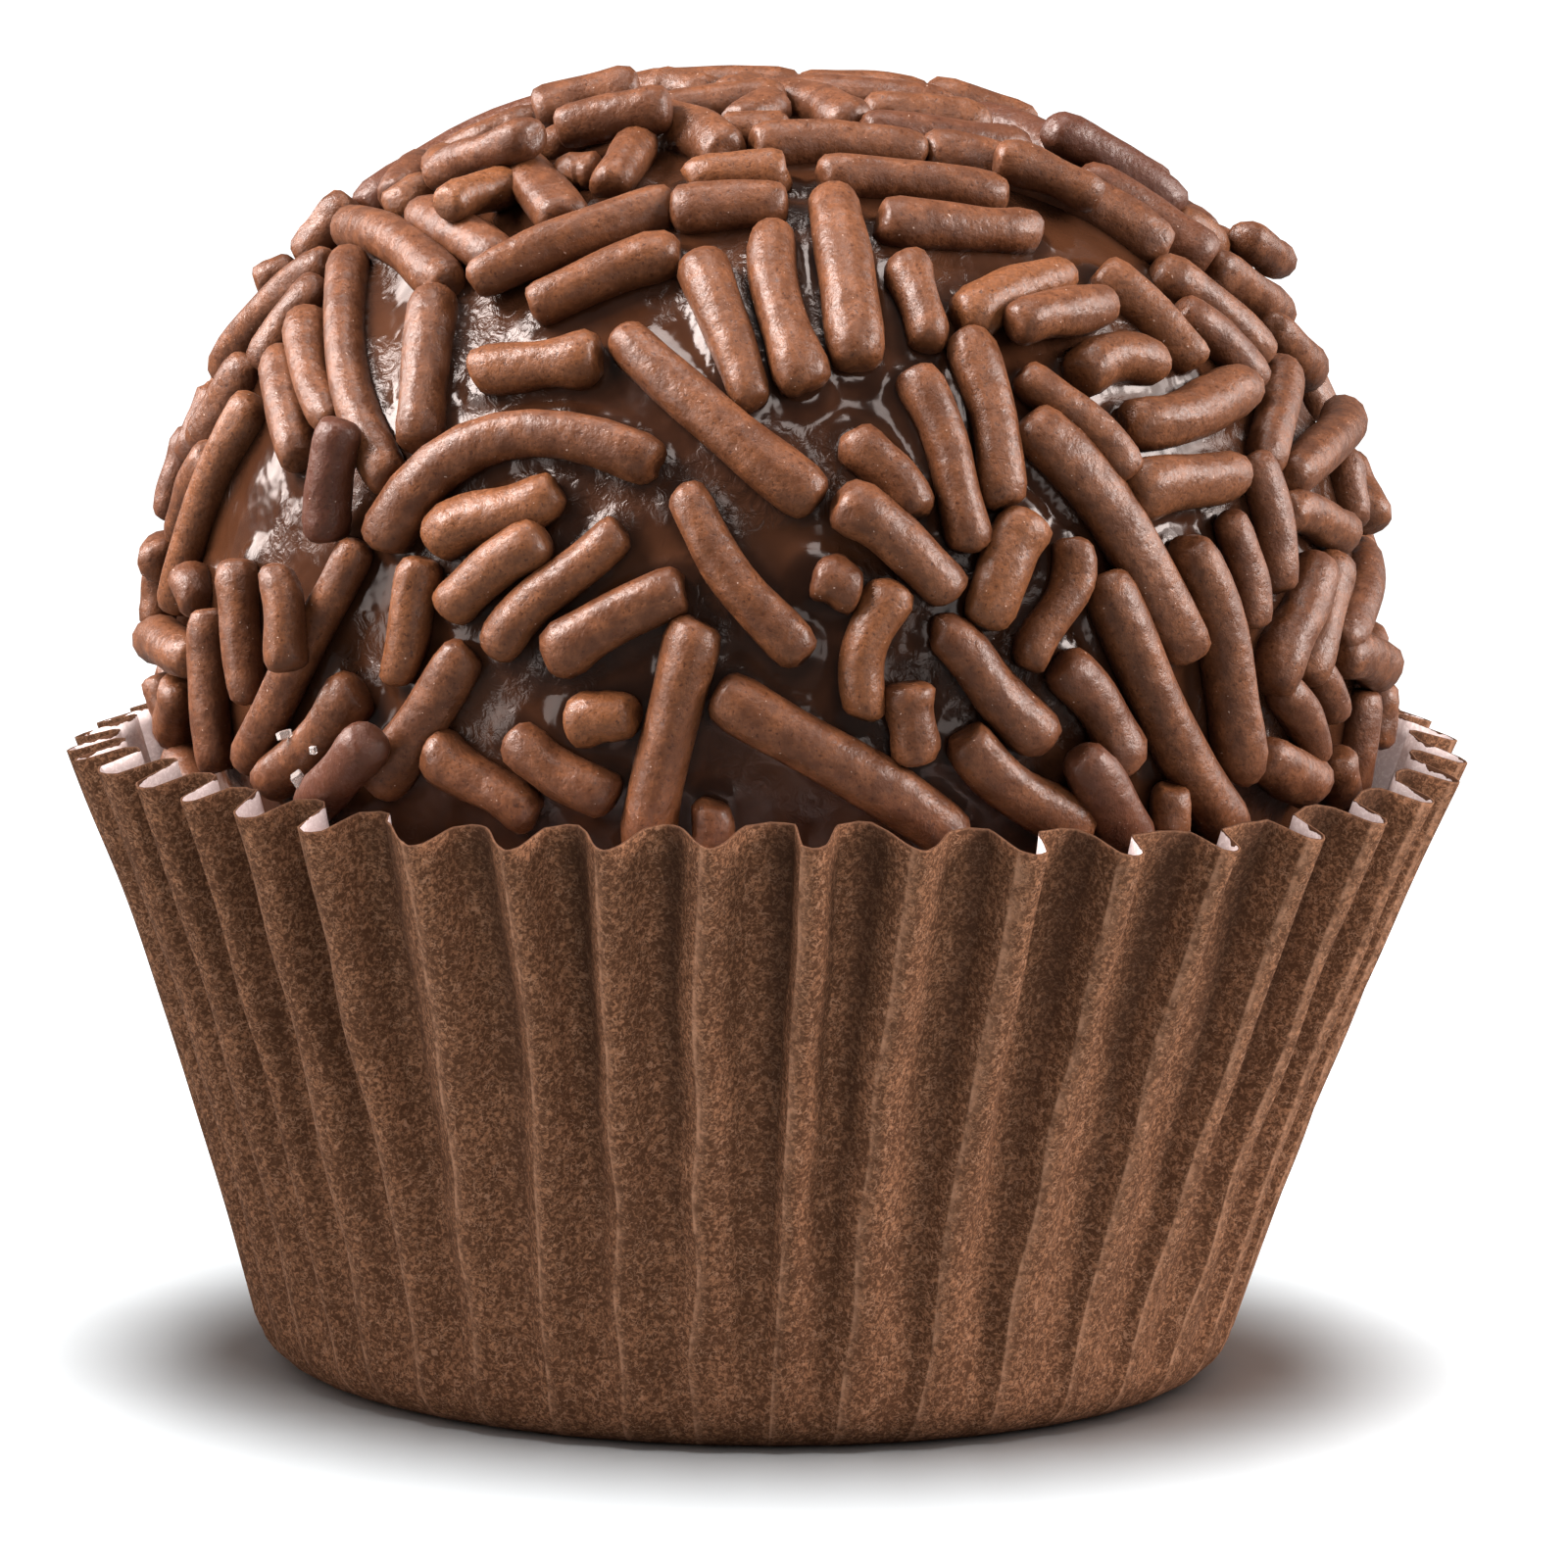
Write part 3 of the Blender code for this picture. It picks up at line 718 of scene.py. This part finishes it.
def other_sprinkles(placed):
    """The rest at random, in rows like the front's, from long to short, so that short ones fill the gaps.

    They leave the front's own gaps alone, and on the sides and back the last of them rest on others.
    """
    draw = random.Random(OTHER_SEED)
    rows = []
    for length, count, most in OTHER_LENGTHS:
        for _ in range(count):
            around = draw.uniform(-math.pi, math.pi)
            up = math.asin(draw.uniform(LOWEST, 1.0))
            heading = draw.uniform(0, math.pi)
            reach = length * draw.uniform(*OTHER_LENGTH_SPREAD) * MM
            width = draw.uniform(*OTHER_WIDTHS) * MM
            bow = draw.gauss(0, OTHER_BOW) * reach
            at_the_front = abs(around) < FRONT_HALF_WIDTH and up > FRONT_FOOT
            if at_the_front and up < FRONT_TOP:
                continue
            way = np.array([math.cos(up) * math.sin(around), -math.cos(up) * math.cos(around), math.sin(up)])
            spot = on_fudge((ball_middle + CAST_FROM * way)[None], np.zeros(1))[0]
            normal = outward(spot[None])[0]
            level = unit(np.cross((0, 0, 1), normal) if abs(normal[2]) < UPRIGHT else np.array([1.0, 0, 0]))
            along = level * math.cos(heading) + np.cross(normal, level) * math.sin(heading)
            pair = np.stack([spot - along * reach / 2, spot + along * reach / 2])
            most_here = 0 if up < PILED_FROM or at_the_front else most
            spots = np.repeat(pair[None], LIFT_STEPS, axis=0)
            row, placed = settled(spots, bow, width, placed, (0, 0), most_here, PRESS)
            if row:
                rows.append((*row, draw.gauss(*OTHER_SHADES)))
    return rows


SHADE_SEED = 4
SHADE_SPREAD = 0.24

front_rows, front_lines = front_sprinkles()
laid = np.array(front_rows + other_sprinkles(front_lines))
sprinkle_ends = laid[:, :6].reshape(-1, 2, 3)
sprinkle_bow = laid[:, 6]
sprinkle_width = laid[:, 7]
sprinkle_lift = laid[:, 8:10]
sprinkle_shade = laid[:, 10] + np.random.default_rng(SHADE_SEED).normal(0, SHADE_SPREAD, len(laid))


# ---------------------------------------------- the sprinkles themselves
# Milk chocolate rods, pressed out warm and soft. Each has blunt ends with a dimple where it broke off, and
# is a little lumpy and oval from tumbling.

SIDES = 14
BODY_RINGS = 7
CAP_REACH = (0.40, 0.70, 0.90, 1.0)   # how wide each ring of an end is, as a share of the rod
CAP_LENGTHS = (0.6, 1.15)     # how long an end is, in half widths
CAP_MOST = 0.42               # and at most, as a share of the rod's length
END_FULLNESS = 2.9            # exponent of an end's outline
SPRINKLE_SEED = 3

# Unevenness, as shares of the half width
LUMPS = (0.015, 0.065)
LUMP_PACE = (3, 8)            # in radians from end to end
RIPPLE = 0.024
RIPPLE_PACE = (9, 16)
OVAL = 0.07
THREE_SIDED = 0.05
TAPER = 0.09
KNOBS = (-0.03, 0.15)         # a swelling, or a slight waist, near one end
KNOB_PLACES = (0.14, 0.86)    # where, as shares of the length
KNOB_LENGTH = 0.13
WANDER = 0.12                 # how far its middle line strays sideways
SLANT = 0.34                  # how far an end is broken off askew
DIMPLES = (-0.02, 0.16)


def sprinkle_rings():
    """The rods' rings and end points.

    Along a rod the rings follow its middle line; each end rounds off as a superellipse of the cap's length.
    Slow waves along the rod and round it make it lumpy and oval. A bowed rod's length is that of a flat
    parabola: the square root of its chord squared and sixteen thirds of its bow squared.
    """
    draw = np.random.default_rng(SPRINKLE_SEED)
    count = len(laid)
    chord = np.linalg.norm(sprinkle_ends[:, 1] - sprinkle_ends[:, 0], axis=1)
    length = np.sqrt(chord ** 2 + (8 / 3) * 2 * sprinkle_bow ** 2)[:, None]
    half = sprinkle_width / 2
    reach = np.array(CAP_REACH)
    back = (1 - reach ** END_FULLNESS) ** (1 / END_FULLNESS)
    cap = half[:, None] * draw.uniform(*CAP_LENGTHS, (count, 2))
    cap = np.minimum(cap, CAP_MOST * length)
    start = cap[:, :1] * (1 - back) / length
    finish = 1 - cap[:, 1:] * (1 - back[::-1]) / length
    body = start[:, -1:] + (finish[:, :1] - start[:, -1:]) * np.linspace(0, 1, BODY_RINGS + 2)[1:-1]
    share = np.concatenate([start, body, finish], axis=1)
    size = np.concatenate([reach, np.ones(BODY_RINGS), reach[::-1]])
    every = np.concatenate([np.zeros((count, 1)), share, np.ones((count, 1))], axis=1)
    lines = middle_lines(sprinkle_ends, sprinkle_bow, sprinkle_lift, every)
    along = unit(np.gradient(lines, axis=1))
    normal = outward(on_fudge(lines, 0 * every))
    normal = unit(normal - along * (normal * along).sum(axis=-1, keepdims=True))
    side = np.cross(along, normal)
    turn = np.linspace(0, math.tau, SIDES, endpoint=False)

    each = (count, 1, 1)
    down = share[..., None]
    phase = draw.uniform(0, math.tau, (6, *each))
    lump = draw.uniform(*LUMPS, each) * np.sin(down * draw.uniform(*LUMP_PACE, each) + phase[0])
    ripple = RIPPLE * np.sin(down * draw.uniform(*RIPPLE_PACE, each) + 2 * turn + phase[1])
    oval = draw.uniform(0.0, OVAL, each) * np.cos(2 * turn + phase[2])
    third = draw.uniform(0.0, THREE_SIDED, each) * np.cos(3 * turn + 2 * down + phase[3])
    taper = draw.normal(0, TAPER, each) * (down - 0.5)
    knob_place = draw.choice(KNOB_PLACES, each)
    knob = draw.uniform(*KNOBS, each) * np.exp(-((down - knob_place) / KNOB_LENGTH) ** 2)
    radius = half[:, None, None] * size[:, None] * (1 + lump + ripple + oval + third + taper + knob)
    spoke = np.cos(turn)[:, None] * side[:, 1:-1, None] + np.sin(turn)[:, None] * normal[:, 1:-1, None]
    rings = lines[:, 1:-1, None] + radius[..., None] * spoke
    stray = half[:, None] * draw.normal(0, WANDER, (count, 1)) * np.sin(math.tau * share + phase[4, ..., 0])
    rings += stray[..., None, None] * side[:, 1:-1, None]
    near_tip = np.concatenate([1 - reach, np.zeros(BODY_RINGS), 1 - reach[::-1]])
    slant = draw.uniform(-SLANT, SLANT, each) * np.cos(turn + phase[5])
    rings += ((slant * near_tip[:, None]) * half[:, None, None])[..., None] * along[:, 1:-1, None]
    dimple = draw.uniform(*DIMPLES, (count, 2, 1)) * half[:, None, None]
    ends = np.stack([lines[:, 0], lines[:, -1]], axis=1)
    ends += dimple * np.stack([along[:, 0], -along[:, -1]], axis=1)
    return rings, ends


CHOCOLATE_DARK = (0.077, 0.0262, 0.0094)
CHOCOLATE_LIGHT = (0.139, 0.0520, 0.0205)
CHOCOLATE_CARAMEL = (0.190, 0.0720, 0.0250)
CHOCOLATE_PURPLE = (0.060, 0.0190, 0.0110)
CHOCOLATE_MOTTLED = (0.066, 0.0232, 0.0086)
CHOCOLATE_PORE = (0.040, 0.013, 0.006)
CHOCOLATE_SPECK = (0.60, 0.46, 0.38)
# painted shade for the side of a sprinkle against the fudge
CHOCOLATE_PAINTED_UNDERSHADE = (0.038, 0.013, 0.0055)
CHOCOLATE_CLOUDS = 0.6 * MM
CHOCOLATE_LUMPS = 0.8 * MM
CHOCOLATE_GRAIN = 0.10 * MM


def sprinkle_material():
    """Milk chocolate: satin brown in a few shades, cloudy and mottled, with dark pores and bright specks.

    Each has its own shade, and the side against the fudge is darkened with painted shade.
    """
    material, tree, shader = new_material("sprinkle_chocolate", Specular_IOR_Level=0.33)
    shade = attribute(tree, "shade")
    cloudy = ranged(tree, noise(tree, CHOCOLATE_CLOUDS, 3.0), 0.36, 0.66)
    plain = mixed(tree, cloudy, CHOCOLATE_DARK, CHOCOLATE_LIGHT)
    warm = mixed(tree, ranged(tree, shade, 0.0, 1.4), plain, CHOCOLATE_CARAMEL)
    toned = mixed(tree, ranged(tree, shade, 0.0, -1.1), warm, CHOCOLATE_PURPLE)
    mottled = ranged(tree, noise(tree, 0.13 * MM, 3.0, 0.65), 0.36, 0.62, 0.0, 0.5)
    toned = mixed(tree, mottled, toned, CHOCOLATE_MOTTLED)
    pores = ranged(tree, noise(tree, CHOCOLATE_GRAIN), 0.39, 0.31, 0.0, 0.75)
    colour = mixed(tree, pores, toned, CHOCOLATE_PORE)
    specks = ranged(tree, noise(tree, CHOCOLATE_GRAIN, 1.0), 0.76, 0.80, 0.0, 0.5)
    colour = mixed(tree, specks, colour, CHOCOLATE_SPECK)
    # painted shade on the side against the fudge
    painted_undershade = ranged(tree, attribute(tree, "side_up"), 0.45, -0.35, 0.0, 0.50)
    colour = mixed(tree, painted_undershade, colour, CHOCOLATE_PAINTED_UNDERSHADE)
    tree.links.new(colour, shader.inputs["Base Color"])
    lumps = noise(tree, CHOCOLATE_LUMPS)
    grain = noise(tree, CHOCOLATE_GRAIN, roughness=0.6)
    tree.links.new(ranged(tree, grain, 0.3, 0.7, 0.34, 0.50), shader.inputs["Roughness"])
    relief = worked(tree, "ADD", lumps, worked(tree, "MULTIPLY", grain, 0.16))
    bumped(tree, shader, relief, 0.75, 0.16 * MM)
    return material


rings, tips = sprinkle_rings()
sprinkles = closed_tubes("chocolate_sprinkles", rings, tips)
set_values(sprinkles, "shade", np.repeat(sprinkle_shade, rings.shape[1] * SIDES + 2))
# 1 on the side turned away from the fudge, -1 on the side against it
side_up = np.sin(np.linspace(0, math.tau, SIDES, endpoint=False))
set_values(sprinkles, "side_up", np.tile(np.append(np.tile(side_up, rings.shape[1]), (0.0, 0.0)), len(laid)))
sprinkles.data.materials.append(sprinkle_material())
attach(sprinkles, "root")
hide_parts("coated_ball")


# ------------------------------------------------------ the fudge's skin
# What shows between the sprinkles: the cooked fudge, tacky and wet with butter, uneven from the hands that
# rolled it. It has drawn up against every sprinkle that is pressed into it.

FUDGE_SIDES = 430
FUDGE_TOP_ROWS = 178
FUDGE_FOOT_ROWS = 32
TOP_ROWS_END = math.radians(122)      # down from the top, past where the case hides it
CLING_RISE = 0.16 * MM
CLING_WIDTH = 0.26 * MM
CLING_STEPS = 17              # points along a sprinkle's middle line from which its side is measured
CLING_ENDS = (0.06, 0.94)     # the first and the last of them, as shares of its length
MEASURED_AT_ONCE = 4096       # points of the fudge, to keep the tables small
SWELLS = 9
SWELL_PACE = (280, 1100)      # in radians a metre
SWELL_HEIGHT = 0.03 * MM
SWELL_SEED = 5


def cling(points):
    """How near the fudge is to a sprinkle's side: 1 at the side, dying off as the square of the gap."""
    share = np.linspace(*CLING_ENDS, CLING_STEPS)[None].repeat(len(laid), axis=0)
    lines = middle_lines(sprinkle_ends, sprinkle_bow, sprinkle_lift, share).reshape(-1, 3)
    reach = np.repeat(sprinkle_width / 2, CLING_STEPS)
    here, there = (points - ball_middle) / MM, (lines - ball_middle) / MM
    nearest = np.empty(len(here))
    for begin in range(0, len(here), MEASURED_AT_ONCE):
        some = slice(begin, begin + MEASURED_AT_ONCE)
        squares = (here[some] ** 2).sum(axis=1)[:, None] + (there ** 2).sum(axis=1)
        square = squares - 2 * here[some] @ there.T
        nearest[some] = (np.sqrt(np.maximum(square, 0)) - reach / MM).min(axis=1)
    gap = np.maximum(nearest, 0) / (CLING_WIDTH / MM)
    return np.exp(-gap * gap)


def unevenness(points):
    """Slow swells left by the hands that rolled it: a sum of waves across the ball in several directions."""
    draw = np.random.default_rng(SWELL_SEED)
    ways = unit(draw.normal(size=(SWELLS, 3)))
    pace = draw.uniform(*SWELL_PACE, SWELLS)
    phase = draw.uniform(0, math.tau, SWELLS)
    return np.sin((points @ ways.T) * pace + phase).sum(axis=-1) * SWELL_HEIGHT


def fudge_skin():
    """The ball's surface: rows on its form from the foot to the top, with swells and clinging rims."""
    down = np.concatenate([
        np.linspace(0, TOP_ROWS_END, FUDGE_TOP_ROWS, endpoint=False)[1:],
        np.linspace(TOP_ROWS_END, math.pi, FUDGE_FOOT_ROWS, endpoint=False),
    ])[::-1, None]
    angle = np.linspace(0, math.tau, FUDGE_SIDES, endpoint=False)[None]
    way = np.stack(np.broadcast_arrays(
        np.sin(down) * np.sin(angle), -np.sin(down) * np.cos(angle), np.cos(down)), axis=-1)
    base = on_fudge(ball_middle + way * FUDGE_RADIUS, 0 * way[..., 0])
    flat = base.reshape(-1, 3)
    near = cling(flat)
    lift = unevenness(flat) + CLING_RISE * near
    points = (flat + outward(flat) * lift[:, None]).reshape(base.shape)
    points[..., 2] = np.maximum(points[..., 2], ball_low.z)
    poles = np.stack([points[0].mean(axis=0), points[-1].mean(axis=0)])
    return points, poles, near


# painted shade for the fudge against the sprinkles
FUDGE_PAINTED_SHADE = (0.014, 0.0055, 0.0028)
FUDGE_DARK = (0.027, 0.0103, 0.0051)
FUDGE_WARM = (0.050, 0.0195, 0.0090)


def fudge_material():
    """Dark wet fudge: glossy, wrinkled in patches, warmer in clouds, with painted shade against the
    sprinkles.
    """
    material, tree, shader = new_material("wet_fudge", Specular_IOR_Level=0.22)
    patch = ranged(tree, noise(tree, 3.5 * MM, 3.0), 0.42, 0.64)
    colour = mixed(tree, patch, FUDGE_DARK, FUDGE_WARM)
    colour = mixed(tree, ranged(tree, noise(tree, 0.5 * MM, 3.0), 0.40, 0.70, 0.0, 0.4), colour, FUDGE_WARM)
    # painted shade where the fudge meets the sprinkles
    painted_contact_shade = ranged(tree, attribute(tree, "near_sprinkle"), 0.15, 0.95, 0.0, 0.75)
    colour = mixed(tree, painted_contact_shade, colour, FUDGE_PAINTED_SHADE)
    tree.links.new(colour, shader.inputs["Base Color"])
    wrinkled = ranged(tree, noise(tree, 2.6 * MM, 3.0), 0.48, 0.62)
    wrinkles = noise(tree, 0.38 * MM, 3.0, 0.55, 0.9)
    tree.links.new(ranged(tree, wrinkled, 0.0, 1.0, 0.14, 0.26), shader.inputs["Roughness"])
    fine = worked(tree, "MULTIPLY", wrinkles, wrinkled)
    slow = worked(tree, "MULTIPLY", noise(tree, 1.2 * MM), 1.2)
    bumped(tree, shader, worked(tree, "ADD", fine, slow), 0.6, 0.11 * MM)
    return material


skin, skin_poles, skin_near = fudge_skin()
fudge = closed_tubes("fudge_core", skin[None], skin_poles[None])
set_values(fudge, "near_sprinkle", np.append(skin_near, (0.0, 0.0)))
fudge.data.materials.append(fudge_material())
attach(fudge, "root")
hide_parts("coated_ball")


# ------------------------------------------------------------- the sugar
# Three crystals of sugar, clear and square as they grow, with their edges worn. They are stuck to the
# sprinkles at the front.

# Across and up from the ball's middle as the eye meets them, then length, breadth and height, in millimetres
GRAINS = ((-12.2, -3.4, 0.46, 0.40, 0.30), (-12.6, -2.2, 0.34, 0.22, 0.20), (-11.85, -2.6, 0.19, 0.15, 0.14))
GRAIN_LIFT = 1.02 * MM        # over the fudge, on top of a sprinkle
GRAIN_BEVEL = 0.16            # share of its half size that each edge is worn by
GRAIN_SEED = 2
SUGAR_CLEAR = (0.95, 0.92, 0.90, 1.0)


def sugar_grains():
    """Square blocks with worn edges: four square rings a grain and flat ends, each turned its own way."""
    draw = np.random.default_rng(GRAIN_SEED)
    table = np.array(GRAINS)
    places = under_the_eye(table[:, 0] * MM, table[:, 1] * MM, GRAIN_LIFT)
    places = on_fudge(places, GRAIN_LIFT + 0 * places[:, 0])
    corner = np.radians([45, 135, 225, 315])
    square = np.stack([np.cos(corner), np.sin(corner)], axis=-1) * math.sqrt(2)
    worn = 1 - GRAIN_BEVEL
    rings = np.array([
        np.column_stack([square * wide, np.full(4, level)])
        for wide, level in ((worn, -1.0), (1.0, -worn), (1.0, worn), (worn, 1.0))
    ])
    blocks = rings[None] * table[:, None, None, 2:] * MM / 2
    tips = np.array([(0, 0, -1.0), (0, 0, 1.0)])[None] * table[:, None, 2:] * MM / 2
    ways = np.linalg.qr(draw.normal(size=(len(table), 3, 3)))[0]
    ways *= np.sign(np.linalg.det(ways))[:, None, None]
    turned = np.einsum("nrsk,njk->nrsj", blocks, ways) + places[:, None, None]
    return turned, np.einsum("nek,njk->nej", tips, ways) + places[:, None]


sugar = closed_tubes("sugar_grains", *sugar_grains())
sugar.data.shade_flat()
material, _, shader = new_material("sugar_crystal", Roughness=0.22, Transmission_Weight=0.75, IOR=1.54)
shader.inputs["Base Color"].default_value = SUGAR_CLEAR
sugar.data.materials.append(material)
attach(sugar, "root")
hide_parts("coated_ball")


# ------------------------------------------------------------ the studio
# A white table with a lamp of its own overhead, whose light leaves the soft shadow. Nine slightly warm
# softboxes light the sweet alone, and a dim surround fills in.

LAMP_WARMTH = (1.0, 0.87, 0.82)
WHITE = (1.0, 1.0, 1.0)
LAMP_AIM = Vector((0, 0, 18 * MM))
# Size and distance in metres, degrees round from the front and up, watts, and whether the print is spared
LAMPS = (
    ("lamp_top", 0.18, 0.55, 0, 96, 1.7, False),
    ("lamp_left", 0.26, 0.55, -86, 40, 10.0, True),
    ("lamp_right", 0.22, 0.55, 78, 20, 3.7, False),
    ("lamp_key", 0.15, 0.55, 20, 52, 0.8, False),
    ("lamp_rim", 0.36, 0.55, 92, 24, 3.4, True),
    ("lamp_back_left", 0.26, 0.55, -121, 20, 2.8, True),
    ("lamp_back_right", 0.36, 0.55, 122, 12, 1.4, True),
    ("lamp_front", 0.30, 0.80, 30, 4, 1.0, False),
    ("lamp_fill", 0.50, 0.80, -72, 2, 4.9, False),
)
OVERHEAD_SIZE = (0.25, 0.48)  # along X and Y
OVERHEAD_DISTANCE = 0.55
OVERHEAD_POWER = 6.0
TABLE_HALF = 130 * MM
# What the card gives back to the eye, to the diffuse light on the sweet, and to everything else
CARD_SEEN = (0.858, 0.883, 0.896)
CARD_DIFFUSE = (0.60, 0.60, 0.60)
CARD_OTHER = (0.15, 0.15, 0.15)
ROOM_SEEN = (1.2, 1.2, 1.2)
ROOM_LOW = (0.13, 0.13, 0.13)
ROOM_HIGH = (0.22, 0.22, 0.22)


def soft_lamp(name, size, distance, around, up, power, colour=LAMP_WARMTH):
    """A square softbox aimed at the sweet from a way round and up, in degrees."""
    lamp = bpy.data.objects.new(name, bpy.data.lights.new(name, "AREA"))
    lamp.data.shape = "SQUARE"
    lamp.data.size = size
    lamp.data.energy = power
    lamp.data.color = colour
    around, up = math.radians(around), math.radians(up)
    back = Vector((math.sin(around) * math.cos(up), -math.cos(around) * math.cos(up), math.sin(up)))
    lamp.location = LAMP_AIM + back * distance
    lamp.rotation_euler = back.to_track_quat("Z", "Y").to_euler()
    lamp.visible_camera = False
    bpy.context.scene.collection.objects.link(lamp)
    return lamp


def flagged(lamp, state, *receivers):
    """Keeps a lamp's own light off some objects, or on them alone; everything still casts its shadow."""
    flag = bpy.data.collections.new(lamp.name + "_flag")
    for receiver in receivers:
        flag.objects.link(receiver)
    for each in flag.collection_objects:
        each.light_linking.link_state = state
    lamp.light_linking.receiver_collection = flag


def white_table():
    """A wide flat sheet of white card, which throws only a little of its light back up at the sweet."""
    mesh = bpy.data.meshes.new("table")
    corners = [(x * TABLE_HALF, y * TABLE_HALF, 0) for x, y in ((-1, -1), (1, -1), (1, 1), (-1, 1))]
    mesh.from_pydata(corners, [], [(0, 1, 2, 3)])
    table = bpy.data.objects.new("table", mesh)
    bpy.context.scene.collection.objects.link(table)
    material, tree, shader = new_material("white_card", Roughness=0.9, Specular_IOR_Level=0.0)
    ray = add_node(tree, "ShaderNodeLightPath").outputs
    thrown = mixed(tree, ray["Is Diffuse Ray"], CARD_OTHER, CARD_DIFFUSE)
    seen = mixed(tree, ray["Is Camera Ray"], thrown, CARD_SEEN)
    tree.links.new(seen, shader.inputs["Base Color"])
    mesh.materials.append(material)
    return table


def surround():
    """The room: white where it is seen directly, and as a light dim and brighter overhead."""
    world = bpy.data.worlds.new("surround")
    bpy.context.scene.world = world
    world.use_nodes = True
    tree = world.node_tree
    background = tree.nodes["Background"]
    place = add_node(tree, "ShaderNodeTexCoord").outputs["Generated"]
    height = add_node(tree, "ShaderNodeSeparateXYZ", {0: place}).outputs[2]
    room = mixed(tree, ranged(tree, height, -0.1, 0.9), ROOM_LOW, ROOM_HIGH)
    seen = add_node(tree, "ShaderNodeLightPath").outputs["Is Camera Ray"]
    tree.links.new(mixed(tree, seen, room, ROOM_SEEN), background.inputs["Color"])


table = white_table()
overhead = soft_lamp("lamp_table", OVERHEAD_SIZE[0], OVERHEAD_DISTANCE, 0, 90, OVERHEAD_POWER, WHITE)
overhead.data.shape = "RECTANGLE"
overhead.data.size_y = OVERHEAD_SIZE[1]
flagged(overhead, "INCLUDE", table)
for *lamp, print_spared in LAMPS:
    spared = (table, printed_face) if print_spared else (table,)
    flagged(soft_lamp(*lamp), "EXCLUDE", *spared)
surround()
bpy.context.scene.view_settings.view_transform = "Standard"
